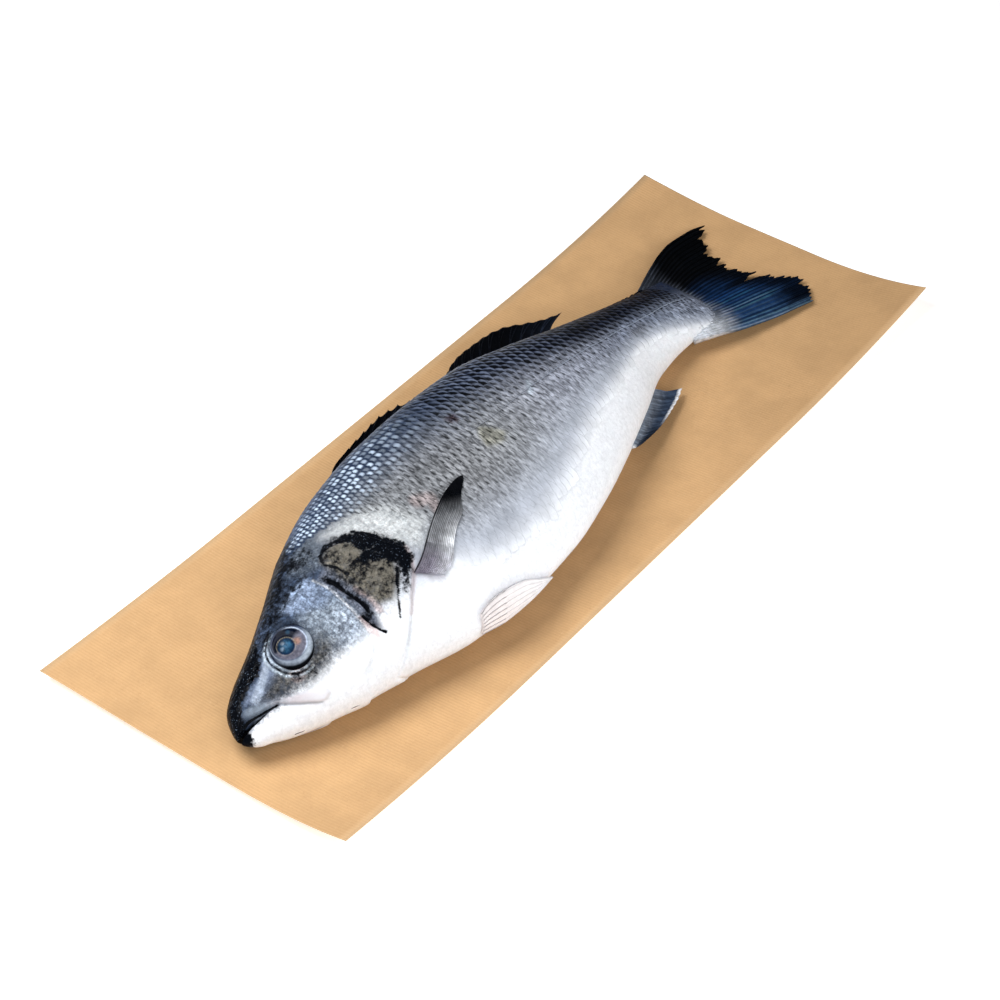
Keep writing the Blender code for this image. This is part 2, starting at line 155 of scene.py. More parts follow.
def fill(node, inputs):
    """Sets a node's inputs: each may be a number, a vector, a colour or what flows out of another node."""
    for key, value in inputs.items():
        if isinstance(value, Flow):
            value.tree.links.new(value.socket, node.inputs[key])
        elif isinstance(value, np.ndarray):
            node.inputs[key].default_value = (*value.tolist(), 1.0)
        else:
            node.inputs[key].default_value = value


def put(tree, kind, inputs=None, output=0, **settings):
    """Adds a node and gives back what flows out of one of its outputs."""
    made = tree.nodes.new(kind)
    for name, value in settings.items():
        setattr(made, name, value)
    fill(made, inputs or {})
    return Flow(made.outputs[output])


def new_tree(name, kind, inputs, outputs):
    """An empty node tree with named sockets; inputs and outputs give each socket's type."""
    tree = bpy.data.node_groups.new(name, kind)
    for way, sockets in (("INPUT", inputs), ("OUTPUT", outputs)):
        for label, socket in sockets.items():
            tree.interface.new_socket(label, in_out=way, socket_type="NodeSocket" + socket)
    given = tree.nodes.new("NodeGroupInput").outputs
    return tree, [Flow(given[label]) for label in inputs], tree.nodes.new("NodeGroupOutput")


def new_material(name):
    """A material with a plain Principled shader, and the object's own coordinates."""
    material = bpy.data.materials.new(name)
    material.use_nodes = True
    return material, put(material.node_tree, "ShaderNodeTexCoord", output="Object")


def finish_with(material, values):
    fill(material.node_tree.nodes["Principled BSDF"], values)
    return material


def reading(place, name, output="Fac"):
    """A number or colour that the mesh carries at each point."""
    return put(place.tree, "ShaderNodeAttribute", output=output, attribute_name=name)


def srgb(red, green, blue):
    """A screen colour, 0 to 255, as the linear colour that a material takes."""
    share = np.array([red, green, blue]) / 255
    return np.where(share <= 0.04045, share / 12.92, ((share + 0.055) / 1.055) ** 2.4)


# %% [markdown]
# ## Shared effects
# Wet fish skin is never one flat colour.  Three small groups are shared by the materials below: blotches that
# lighten and darken, pigment with a ragged edge, and a film of water that is shinier here and duller there.

# %% Shared shader groups
PIGMENT_GRAIN = 620.0
RAGGEDNESS = 1.7


def make_blotches():
    sockets = {"Colour": "Color", "Place": "Vector", "Scale": "Float", "Strength": "Float"}
    tree, (colour, place, scale, strength), result = new_tree(
        "blotches", "ShaderNodeTree", sockets, {"Colour": "Color"})
    level = place.noise(scale, 5.0, 0.62).ease(0.28, 0.72, -1.0, 1.0) * strength + 1.0
    fill(result, {"Colour": colour.blend(1.0, level, "MULTIPLY")})
    return tree


def make_ragged_edge():
    sockets = {"Field": "Float", "Place": "Vector"}
    tree, (field, place), result = new_tree("ragged_edge", "ShaderNodeTree", sockets, {"Mask": "Float"})
    broad = place.noise(0.3 * PIGMENT_GRAIN, 3.0, 0.6)
    fine = place.noise(PIGMENT_GRAIN, 6.0, 0.72)
    grain = (broad * 0.7 + fine - 0.85) * (field.ease(0.0, 0.2) * RAGGEDNESS) + field
    fill(result, {"Mask": grain.ease(0.24, 0.76)})
    return tree


def make_wet_film():
    sockets = {"Place": "Vector", "Scale": "Float", "Dull": "Float", "Shiny": "Float"}
    tree, (place, scale, dull, shiny), result = new_tree(
        "wet_film", "ShaderNodeTree", sockets, {"Roughness": "Float", "Height": "Float"})
    film = place.noise(scale, 4.0, 0.6)
    fill(result, {"Roughness": film.ease(0.35, 0.65) * (dull - shiny) + shiny, "Height": film})
    return tree


BLOTCHES = make_blotches()
RAGGED_EDGE = make_ragged_edge()
WET_FILM = make_wet_film()


def cloudy(place, colour, scale, strength):
    """The colour broken by blotches."""
    inputs = {"Colour": colour, "Place": place, "Scale": scale, "Strength": strength}
    return put(place.tree, "ShaderNodeGroup", inputs, node_tree=BLOTCHES)


def ragged(place, field):
    """Where pigment lies, from a field that says how much of it a place should have."""
    return put(place.tree, "ShaderNodeGroup", {"Field": field, "Place": place}, node_tree=RAGGED_EDGE)


def wet_film(place, scale, dull, shiny):
    """The roughness and the height of a film of water."""
    inputs = {"Place": place, "Scale": scale, "Dull": dull, "Shiny": shiny}
    rough = put(place.tree, "ShaderNodeGroup", inputs, node_tree=WET_FILM)
    return rough, Flow(rough.socket.node.outputs["Height"])


# %% [markdown]
# ## Meshes from grids of points
# Most pieces here are grids of points worked out by a rule.  Rings of points become a closed skin, and the
# enclosed volume tells whether its faces look outwards; if not, they are turned.

# %% Mesh helpers
def store(mesh, name, values):
    """Numbers, directions or colours kept at each point of a mesh, for its material or its geometry tree."""
    values = np.asarray(values, np.float32)
    if values.ndim == 1:
        layer, key = mesh.attributes.new(name, "FLOAT", "POINT"), "value"
    elif name.endswith("ward"):
        layer, key = mesh.attributes.new(name, "FLOAT_VECTOR", "POINT"), "vector"
    else:
        layer, key = mesh.attributes.new(name, "FLOAT_COLOR", "POINT"), "color"
        values = np.concatenate([values, np.ones((len(values), 1), np.float32)], axis=1)
    layer.data.foreach_set(key, values.ravel())


def closed_skin(name, rings, readings=None, folded=False):
    """A closed mesh over rings of points; readings has one value for each grid point.

    Its two ends are closed by fans of triangles, or, where each ring is folded flat, by strips across it.
    """
    rows, columns = rings.shape[:2]
    points = rings.reshape(-1, 3)
    corner = np.arange(rows * columns).reshape(rows, columns)
    after = np.roll(corner, -1, axis=1)
    faces = np.stack([corner[:-1], after[:-1], after[1:], corner[1:]], axis=-1).reshape(-1, 4).tolist()
    if folded:
        for end, way in ((corner[0], -1), (corner[-1], 1)):
            back = end[::-1]
            strip = np.stack([end[:-1], end[1:], back[1:], back[:-1]], axis=-1)[: columns // 2 - 1]
            faces += strip[:, ::way].tolist()
    else:
        points = np.concatenate([points, rings[[0, -1]].mean(axis=1)])
        first, last = rows * columns, rows * columns + 1
        faces += np.stack([after[0], corner[0], np.full(columns, first)], axis=-1).tolist()
        faces += np.stack([corner[-1], after[-1], np.full(columns, last)], axis=-1).tolist()
    a, b, c = (points[[face[k] for face in faces]] for k in range(3))
    d = points[[face[-1] for face in faces]]
    volume = (np.cross(a, b) * c).sum() + (np.cross(a, c) * d).sum()
    if volume < 0:
        faces = [face[::-1] for face in faces]
    mesh = bpy.data.meshes.new(name)
    mesh.from_pydata(points.tolist(), [], faces)
    mesh.shade_smooth()
    for key, values in (readings or {}).items():
        values = np.asarray(values)
        flat = values.reshape(rows * columns, *values.shape[2:])
        if not folded:
            flat = np.concatenate([flat, values[[0, -1]].mean(axis=1)])
        store(mesh, key, flat)
    return mesh


def add_piece(name, mesh, material, replaced=()):
    """The mesh as a piece of the object: it rides on the one body and may stand for a solid."""
    thing = bpy.data.objects.new(name, mesh)
    bpy.context.scene.collection.objects.link(thing)
    thing.data.materials.clear()
    thing.data.materials.append(material)
    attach(thing, "root")
    if replaced:
        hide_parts(*replaced)
    print(f"{name}: {len(mesh.vertices)} points, {len(mesh.polygons)} faces")


# %% [markdown]
# ## The body's shape
# The body is a stack of rounded sections from the snout to the root of the tail, the same ones that the solid
# is built from.  A place on the skin is a station along the fish and an angle round the section: 0 on the
# ridge of the back, 90 on the middle of the flank and 180 under the belly.

# %% Body sections
SNOUT_X = -188.5 * MM
# station, y of back, y of belly, half thickness, height of the mid plane, lean of the back over the belly
STATIONS = MM * np.array(
    [
        (0, -10.0, -21.5, 3.6, 13.2, 0.3),
        (8, -2.7, -23.8, 6.8, 13.6, 0.6),
        (16, 1.2, -28.5, 9.8, 14.6, 1.2),
        (28, 5.0, -33.8, 13.2, 16.8, 2.4),
        (44, 11.8, -39.0, 16.2, 19.2, 3.8),
        (67, 23.0, -44.0, 19.6, 21.0, 5.0),
        (97, 32.3, -52.2, 22.8, 22.6, 6.0),
        (127, 36.0, -54.8, 25.4, 24.0, 6.0),
        (157, 37.0, -53.0, 26.0, 24.3, 5.5),
        (187, 37.2, -46.4, 24.6, 23.0, 5.0),
        (217, 33.4, -36.8, 21.4, 20.2, 4.0),
        (247, 28.6, -25.2, 17.0, 16.4, 3.0),
        (272, 26.3, -15.6, 12.4, 13.2, 2.0),
        (292, 24.3, -13.0, 8.6, 11.2, 1.5),
        (308, 23.4, -12.8, 5.0, 9.6, 1.0),
        (324, 22.0, -15.0, 1.0, 8.2, 1.0),
    ]
)
NOSE_ROUNDING = 7 * MM
SECTION_POWER = 2 / 2.25
THICKEST_TOWARDS_BACK = 0.14
EDGE_THINNING = 0.06
UNDERSIDE_HEIGHT = 0.6 * MM
SAG_DEPTH = 4 * MM


def smooth_through(places, values, at):
    """A curve through the values that never swings past them: the cubic of Fritsch and Carlson."""
    step = np.diff(places)
    slope = np.diff(values) / step
    tangent = np.concatenate([slope[:1], np.zeros(len(slope) - 1), slope[-1:]])
    same_way = slope[:-1] * slope[1:] > 0
    before = (step[:-1] + 2 * step[1:])[same_way]
    after = (2 * step[:-1] + step[1:])[same_way]
    mean = (before + after) / (before / slope[1:][same_way] + after / slope[:-1][same_way])
    tangent[1:-1][same_way] = mean
    span = np.clip(np.searchsorted(places, at, side="right") - 1, 0, len(step) - 1)
    t = (at - places[span]) / step[span]
    start = (1 + 2 * t) * (1 - t) ** 2 * values[span] + t * (1 - t) ** 2 * step[span] * tangent[span]
    end = t * t * (3 - 2 * t) * values[span + 1] - t * t * (1 - t) * step[span] * tangent[span + 1]
    return start + end


def body_surface(station, angle):
    """Points of the smooth body, for arrays of station in metres and angle in radians."""
    station, angle = np.broadcast_arrays(np.asarray(station, float), np.asarray(angle, float))
    back, belly, half, middle, lean = (
        smooth_through(STATIONS[:, 0], STATIONS[:, column], station) for column in range(1, 6)
    )
    rounded = np.sqrt(np.maximum(1 - (1 - np.clip(station / NOSE_ROUNDING, 0, 1)) ** 2, 0))
    across = np.sign(np.cos(angle)) * np.abs(np.cos(angle)) ** SECTION_POWER
    out = np.sign(np.sin(angle)) * np.abs(np.sin(angle)) ** SECTION_POWER
    swell = 1 + THICKEST_TOWARDS_BACK * across - EDGE_THINNING * across**2
    y = (back + belly) / 2 + rounded * (back - belly) / 2 * across
    z = middle + rounded * (lean * across + half * out * swell)
    return np.stack([SNOUT_X + station, y, z], axis=-1)


def body_normal(station, angle):
    """The direction out of the skin, from the surface a little before and behind, and to both sides."""
    small, turn = 0.2 * MM, 0.01
    station = np.maximum(station, 1.5 * small)
    along = body_surface(station + small, angle) - body_surface(station - small, angle)
    around = body_surface(station, angle + turn) - body_surface(station, angle - turn)
    normal = np.cross(around, along)
    return normal / np.linalg.norm(normal, axis=-1, keepdims=True)


def lay_down(points):
    """The soft flesh spreads where it rests: nothing comes lower than the top of the paper."""
    z = points[..., 2]
    floor = UNDERSIDE_HEIGHT + SAG_DEPTH
    pressed = UNDERSIDE_HEIGHT + SAG_DEPTH * np.exp(np.minimum((z - floor) / SAG_DEPTH, 0))
    points[..., 2] = np.where(z < floor, pressed, z)
    return points


# %% [markdown]
# ## Drawing on the skin
# Plates, slits and colours are drawn with the same few pens.  A stroke is soft to both sides of a line, an
# area is soft at its outline, and both take points as (station in mm, degrees).  Degrees are turned to
# millimetres by the depth of the body at that station, so that a round spot is round.

# %% Pens
def flank_place(station, angle):
    """Station in mm and degrees from the ridge, the same on both flanks, and how many mm one degree spans."""
    along = np.asarray(station) / MM
    down = np.abs((np.degrees(angle) + 180) % 360 - 180)
    depth = np.interp(along, STATIONS[:, 0] / MM, (STATIONS[:, 1] - STATIONS[:, 2]) / MM)
    return np.broadcast_arrays(along, down, math.radians(1) * 0.54 * depth)


def smooth_step(value, low, high):
    share = np.clip((value - low) / (high - low), 0, 1)
    return share * share * (3 - 2 * share)


def segment_distance(place, start, end):
    along, down, span = place
    run = end[0] - start[0]
    drop = (end[1] - start[1]) * span
    east = along - start[0]
    south = (down - start[1]) * span
    share = np.clip((east * run + south * drop) / (run * run + drop * drop + 1e-9), 0, 1)
    return np.hypot(east - share * run, south - share * drop), share


def stroke(place, line, width, fade, taper=0.0):
    """1 on the line, 0 beyond its width; taper thins it towards its end."""
    nearest = np.full(place[0].shape, np.inf)
    count = len(line) - 1
    for number, (start, end) in enumerate(zip(line, line[1:])):
        distance, share = segment_distance(place, start, end)
        distance = distance + width * taper * (number + share) / count
        nearest = np.minimum(nearest, distance)
    return 1 - smooth_step(nearest, width / 2, width / 2 + fade)


def area(place, outline, fade):
    """1 inside the outline, 0 outside it, with a soft edge of the given width on both sides."""
    along, down, _ = place
    nearest = np.full(along.shape, np.inf)
    inside = np.zeros(along.shape, bool)
    for start, end in zip(outline, outline[1:] + outline[:1]):
        nearest = np.minimum(nearest, segment_distance(place, start, end)[0])
        if start[1] == end[1]:
            continue
        crossing = start[0] + (down - start[1]) / (end[1] - start[1]) * (end[0] - start[0])
        inside ^= ((start[1] > down) != (end[1] > down)) & (along < crossing)
    return smooth_step(np.where(inside, nearest, -nearest), -fade, fade)


def spot(place, centre, radius, fade=0.5):
    """A round spot in millimetres; fade is the share of the radius over which it goes out."""
    along, down, span = place
    distance = np.hypot(along - centre[0], (down - centre[1]) * span)
    return 1 - smooth_step(distance, radius * (1 - fade), radius)


def bump(value, width):
    """1 where the value is 0, and smaller to both sides."""
    return np.exp(-((value / width) ** 2))


def along_edge(edge, along):
    """The second number of an edge's points where the first is along."""
    return np.interp(along, [point[0] for point in edge], [point[1] for point in edge])


def down_edge(edge, down):
    """The first number of an edge's points where the second is down."""
    return along_edge([point[::-1] for point in edge], down)


# %% [markdown]
# ## Landmarks of the head
# These lines are where a fishmonger would name things: the lips, the cheek plate with its free rear edge, the
# groove behind it, and the gill cover whose rear edge is the gill opening.

# %% Landmarks
EYE_PLACE = (35.2, 84.5)
EYE_RADIUS = 8.3
NOSTRILS = [(22.0, 65), (18.1, 67)]
GAPE = [(3.7, 92), (10.1, 108), (14.4, 112), (16.2, 114), (22, 133), (28.4, 149)]
UPPER_LIP = [
    (3.5, 78), (6.4, 80), (11.4, 92), (17.6, 111), (24, 122), (29, 130), (32, 137), (32.6, 143),
    (30.6, 148), (27, 147), (22, 133), (16.2, 114), (14.4, 112), (10.1, 108), (3.7, 92),
]
CHEEK_EDGE = [(57, 66), (60, 75), (61, 88), (60, 104), (59, 116), (57.5, 130), (54.0, 140), (47.0, 148)]
CHEEK_GROOVE = [(63.8, 84), (64.3, 94), (64.8, 106), (64.4, 113)]
CHEEK_GROOVE_LOW = [(61.6, 112), (61.8, 121), (63.0, 128), (63.9, 132)]
GILL_COVER_EDGE = [
    (75, 72), (81, 74), (87.5, 83), (92, 93), (94, 100), (92, 106), (88, 113), (82, 121), (76, 132),
    (69, 148), (63, 164), (59, 178),
]
COVER_TOP = [(60, 60), (75, 72), (87.5, 83), (94, 100)]
COVER_SLIT = [(85, 105), (80, 112), (76, 119), (71.4, 130)]
THROAT_FOLD = [(73, 137), (69, 148), (64, 156)]
COVER_FRONT_RIDGE = [(66.8, 88), (68.5, 104), (69, 120), (66, 134)]
COVER_MIDDLE_RIDGE = [(70, 93), (78, 100), (84, 101)]
# The corner of the mouth as x and y in mm, and how steeply its two sides rise from there.
MOUTH_CORNER = (-173.0, -20.0)
MOUTH_SLOPES = (0.39, 0.22)


def eye_distance(place):
    along, down, span = place
    return np.hypot(along - EYE_PLACE[0], (down - EYE_PLACE[1]) * span)


def mouth_depth(points):
    """How far a point is inside the open mouth: 0 on the lips, and 1 well between the jaws."""
    ahead = MOUTH_CORNER[0] - points[..., 0] / MM
    y = points[..., 1] / MM
    top = MOUTH_CORNER[1] + MOUTH_SLOPES[0] * ahead
    bottom = MOUTH_CORNER[1] + MOUTH_SLOPES[1] * ahead
    return smooth_step(np.minimum(top - y, y - bottom), -0.1, 0.7) * (ahead > 0)


def past_cover(place):
    """Millimetres behind the gill cover's rear edge, negative on the cover."""
    along, down, _ = place
    upper, lower = down_edge(COVER_TOP, down), down_edge(GILL_COVER_EDGE[4:], down)
    return along - np.where(down < GILL_COVER_EDGE[4][1], upper, lower)


# %% [markdown]
# ## Relief of the head
# The skin is one closed mesh whose points are pushed along their normals.  Pushing is simpler than cutting: a
# slit is a narrow stroke pushed in, a plate is an area pushed out that ends in a step.

# %% Head relief
def head_relief(station, angle, points):
    """How far the skin stands out, in metres; the heights and widths below are in mm."""
    place = flank_place(station, angle)
    along, down, _ = place
    past = past_cover(place)
    flank = smooth_step(down, 58, 74)
    height = 1.3 * smooth_step(-past, 0, 1.3) * np.clip((along - 52) / 24, 0, 1) * flank
    cheek_end = down_edge(CHEEK_EDGE, down)
    cheek = smooth_step(cheek_end - along, 0, 1.1) * smooth_step(along, cheek_end - 14, cheek_end)
    height += 0.9 * cheek * flank
    distance = eye_distance(place)
    height -= 2.4 * (1 - smooth_step(distance, EYE_RADIUS - 0.7, EYE_RADIUS + 0.4))
    height += 0.5 * bump(distance - EYE_RADIUS - 1.2, 0.9)
    folds = smooth_step(EYE_PLACE[0] + 3 - along, 0, 8)
    height += 0.45 * folds * (bump(distance - 9.2, 0.5) + bump(distance - 10.9, 0.5))
    height += 0.75 * area(place, UPPER_LIP, 1.1)
    height += 0.5 * bump((down - 122) / 16, 1) * bump(along - 18, 10)
    height -= 1.7 * stroke(place, GAPE[:4], 0.7, 0.9) + 0.35 * stroke(place, GAPE[3:], 0.2, 1.2)
    for nostril in NOSTRILS:
        height += 0.5 * spot(place, nostril, 2.3, 0.6) - 2.2 * spot(place, nostril, 1.0, 0.5)
    height -= 1.5 * stroke(place, CHEEK_GROOVE, 0.7, 0.8) + 1.6 * stroke(place, CHEEK_GROOVE_LOW, 0.8, 0.9)
    height -= 0.9 * stroke(place, COVER_SLIT, 0.5, 0.7)
    height -= 0.7 * stroke(place, GILL_COVER_EDGE[4:], 0.5, 1.0)
    height -= 0.4 * stroke(place, THROAT_FOLD, 0.4, 0.7)
    height += 0.35 * stroke(place, COVER_FRONT_RIDGE, 0.8, 1.4)
    height += 0.3 * stroke(place, COVER_MIDDLE_RIDGE, 0.8, 1.6)
    height -= 5.0 * mouth_depth(points)
    return MM * height


# %% [markdown]
# ## Colours of the skin
# A sea bass is dark blue-black over the back, steel grey along the flank and white below, and this one has a
# black snout, a black patch on the gill cover and pink where the skin is thin.  The colour is worked out for
# any place on the skin, so that the skin and each scale on it agree.

# %% Skin colours
INK = srgb(7, 9, 14)
WHITE = srgb(238, 241, 246)
SILVER = srgb(176, 182, 194)
STEEL = srgb(104, 110, 124)
SNOUT_GREY = srgb(112, 124, 146)
CHEEK_BLUE = srgb(132, 148, 174)
CHEEK_GREY = srgb(130, 141, 154)
CHEEK_LIGHT = srgb(178, 190, 207)
CROWN_GREY = srgb(52, 64, 84)
NAPE_GREY = srgb(96, 104, 114)
OLIVE = srgb(96, 94, 90)
OLIVE_STAIN = srgb(104, 102, 84)
RED_BROWN = srgb(56, 36, 38)
TAN = srgb(110, 106, 97)
PINK = srgb(196, 164, 158)
PINK_WHITE = srgb(224, 214, 218)
PURPLE_GREY = srgb(134, 130, 144)
SHOULDER_WHITE = srgb(198, 202, 204)
COOL_WHITE = srgb(206, 222, 236)
STAIN_BLUE = srgb(30, 40, 58)

# The tone of the back and of the flank's middle at stations along the body, in mm from the snout.
BACK_TONES = {
    70: (60, 72, 94), 98: (50, 60, 80), 120: (41, 50, 69), 140: (48, 58, 76), 160: (47, 57, 77),
    182: (52, 62, 84), 215: (30, 39, 60), 255: (6, 15, 36), 285: (6, 16, 38), 305: (20, 30, 52),
    324: (30, 41, 64),
}
FLANK_TONES = {
    70: (132, 135, 140), 98: (110, 113, 117), 140: (112, 114, 118), 165: (128, 131, 136),
    200: (132, 136, 147), 235: (126, 131, 144), 280: (102, 110, 127), 305: (120, 128, 144),
    324: (118, 125, 141),
}

DARK_BACK_EDGE = [
    (60, 40), (100, 40), (125, 46), (150, 52), (180, 54), (205, 62), (240, 70), (262, 75), (280, 72),
    (305, 62), (324, 50),
]
WHITE_BELLY_EDGE = [
    (40, 126), (75, 120), (100, 119), (120, 137), (150, 139), (180, 132), (200, 125), (220, 122),
    (240, 120), (268, 118), (290, 127), (304, 142), (313, 160), (324, 174),
]
SNOUT_BLACK = [
    (-2, -1), (31, -1), (33, 30), (30, 46), (26, 56), (24, 66), (20, 74), (16, 70), (10, 72), (7, 84),
    (3, 92), (-2, 92),
]
CROWN_DARK = [
    (24, -1), (78, -1), (74, 34), (68, 43), (62, 49), (57, 56), (54, 60), (49, 59), (45, 57), (40, 56),
    (33, 54), (27, 48),
]
SNOUT_SILVER = [
    (10, 78), (13, 72), (19, 76), (24, 68), (28, 58), (30, 62), (27, 78), (24, 86), (17, 92), (12, 89),
]
UNDER_EYE = [
    (15, 92), (25, 88), (30, 98), (38, 101), (44, 98), (46, 108), (40, 116), (32, 121), (24, 115),
    (17, 103),
]
CHEEK_PATCH = [(44, 57), (52, 60), (59, 69), (60.5, 90), (54, 90), (48, 80), (45, 70)]
CHEEK = [(43, 82), (50, 76), (60, 86), (60, 112), (57, 118), (48, 116), (41, 108)]
CHEEK_SHEEN = [(51, 98), (59, 98), (60, 112), (57, 124), (50, 122), (46, 112)]
BEHIND_CHEEK = [(61, 78), (68, 78), (68, 90), (66.5, 112), (63, 130), (60.5, 118), (61.5, 96)]
COVER_TAN = [
    (68, 74), (73, 70), (80, 76), (83, 86), (79, 91), (87, 99), (82, 110), (74, 118), (68.5, 114),
    (67, 92),
]
COVER_BLACK = [
    (70, 70), (75, 67.5), (80, 70), (86, 77), (91, 87), (95, 99), (93, 105), (87, 111), (82, 118),
    (79, 119), (83, 111), (86, 103), (82, 97), (77, 92), (70, 90), (74, 87.5), (80, 88), (81.5, 81),
    (77, 74),
]
SHOULDER = [(78, 62), (85, 67), (94, 73), (102, 84), (108, 97), (99, 106), (93, 96), (88, 82), (82, 72)]
PELVIC_PINK = [(98, 158), (112, 156), (124, 164), (134, 178), (96, 179)]

# Small marks on this fish, each a spot, a line or an outline.
PINK_SPOT = (28.5, 105)
OLIVE_MARK = [(158, 86), (162, 90), (165, 96), (160, 98), (152, 95), (154, 90)]
RED_MARK = (155, 74)
PALE_SCRATCH = [(191, 91), (194, 89), (197, 86)]
SHORT_STREAK = [(116, 54), (117, 61)]
LONG_STREAK = [(124, 50), (126, 58), (128, 66), (131, 70)]
PINK_STREAK = [(112, 90), (117, 93), (115, 98)]
TAIL_ROOT_STAIN = [(270, 98), (280, 95), (286, 104), (280, 112), (268, 108)]
NAPE_PATCH = [(58, 50), (66, 44), (78, 52), (76, 68), (66, 74), (60, 66)]
SNOUT_GLEAM = [(13, 88), (19, 82), (25, 74), (29, 63)]
PINK_JOINT = [(59.4, 110), (61.4, 112), (62, 126), (60, 134), (58.4, 124)]
PINK_RIM = [(67.4, 98), (68.4, 108), (67.4, 118)]
FIN_ROOT_PATCH = [(89, 112), (96, 112), (99, 120), (95, 127), (91, 122)]
COVER_FRONT_LINE = [(75, 68), (70, 70), (67.6, 76), (69.5, 84), (70, 90)]
COVER_REAR_LINE = [(86, 77), (90, 87), (91, 96)]
CHIN_SLITS = ([(16.5, 187), (19.5, 187)], [(38.0, 186), (41.0, 186)])
FIRST_SCALES = [(76, 58), (96, 62), (112, 80), (112, 104), (96, 108)]


def tone_at(tones, along):
    """The tone at each station, mixed from the named ones on either side."""
    named = np.array([srgb(*tone) for tone in tones.values()])
    return np.stack([np.interp(along, list(tones), named[:, part]) for part in range(3)], axis=-1)


def painted(colour, coats):
    """The colour under coats of paint, each as (share, tone), laid on from the first to the last."""
    for share, tone in coats:
        colour = colour + np.asarray(share)[..., None] * (tone - colour)
    return colour


def belly_share(place):
    """0 at the edge of the dark back, 1 where the belly turns white."""
    along, down, _ = place
    dark_end = along_edge(DARK_BACK_EDGE, along)
    return (down - dark_end) / (along_edge(WHITE_BELLY_EDGE, along) - dark_end)


def body_colour(place):
    """Back, flank and belly, before anything is drawn on them."""
    share = belly_share(place)
    return painted(tone_at(BACK_TONES, place[0]), [
        (smooth_step(share, 0.0, 0.5), tone_at(FLANK_TONES, place[0])),
        (smooth_step(share, 0.55, 0.99), SILVER),
        (smooth_step(share, 0.85, 1.15), WHITE),
    ])


def skin_colour(place, head):
    """The body's colour with everything on it that isn't black, painted highlights included; widths are in
    mm.
    """
    along, down, _ = place
    distance = eye_distance(place)
    folds = smooth_step(EYE_PLACE[0] + 1 - along, 0, 5)
    return painted(body_colour(place), [
        (0.6 * area(place, OLIVE_MARK, 1.0), OLIVE_STAIN),
        (0.8 * spot(place, RED_MARK, 3.4, 0.5), RED_BROWN),
        (0.4 * stroke(place, PALE_SCRATCH, 0.3, 1.2), COOL_WHITE),
        (0.5 * stroke(place, SHORT_STREAK, 2.4, 1.6), STAIN_BLUE),
        (0.75 * stroke(place, LONG_STREAK, 1.0, 1.2, 0.5), STAIN_BLUE),
        (0.2 * stroke(place, PINK_STREAK, 2.0, 2.4), PINK),
        (0.3 * area(place, TAIL_ROOT_STAIN, 3.0), OLIVE),
        (head * smooth_step(down, 30, 60) * (1 - smooth_step(down, 100, 124)), CROWN_GREY),
        (0.8 * area(place, NAPE_PATCH, 3.0), NAPE_GREY),
        (head * smooth_step(down, 107, 132), WHITE),
        (area(place, CHEEK, 5.0), CHEEK_GREY),
        (area(place, CHEEK_PATCH, 2.0), CHEEK_BLUE),
        # A painted sheen of light on the lower cheek.
        (0.6 * area(place, CHEEK_SHEEN, 3.5), CHEEK_LIGHT),
        (0.9 * area(place, UNDER_EYE, 5.4), OLIVE),
        (0.4 * spot(place, PINK_SPOT, 4.0, 0.8), PINK),
        (area(place, SNOUT_SILVER, 1.6), SNOUT_GREY),
        # A painted gleam of light along the snout.
        (0.6 * stroke(place, SNOUT_GLEAM, 1.2, 1.6), CHEEK_LIGHT),
        (0.85 * area(place, UPPER_LIP, 1.3) * smooth_step(along, 4, 10), CHEEK_GREY),
        (0.7 * area(place, UPPER_LIP, 1.3) * smooth_step(along, 12, 24), PINK_WHITE),
        (0.6 * area(place, UPPER_LIP, 1.3) * smooth_step(along, 22, 31), WHITE),
        # A painted line of shade along the rear of the gape.
        (0.5 * stroke(place, GAPE[3:], 0.1, 0.9, 0.4), STEEL),
        (0.5 * stroke(place, CHEEK_EDGE[1:6], 0.4, 0.7), WHITE),
        (area(place, BEHIND_CHEEK, 1.6), STEEL),
        (0.5 * area(place, PINK_JOINT, 0.8), PINK),
        (0.4 * stroke(place, PINK_RIM, 0.9, 1.4), PINK),
        (area(place, COVER_TAN, 2.2), TAN),
        (0.9 * area(place, SHOULDER, 5.0), SHOULDER_WHITE),
        (0.65 * area(place, FIN_ROOT_PATCH, 2.6), PURPLE_GREY),
        (0.35 * stroke(place, GILL_COVER_EDGE[4:9], 0.6, 1.2), PINK),
        (0.25 * area(place, PELVIC_PINK, 5.0), PINK_WHITE),
        # Painted highlights on the crests of the two folds in front of the eye.
        (0.6 * folds * (bump(distance - 9.1, 0.4) + bump(distance - 10.8, 0.45)), COOL_WHITE),
    ])


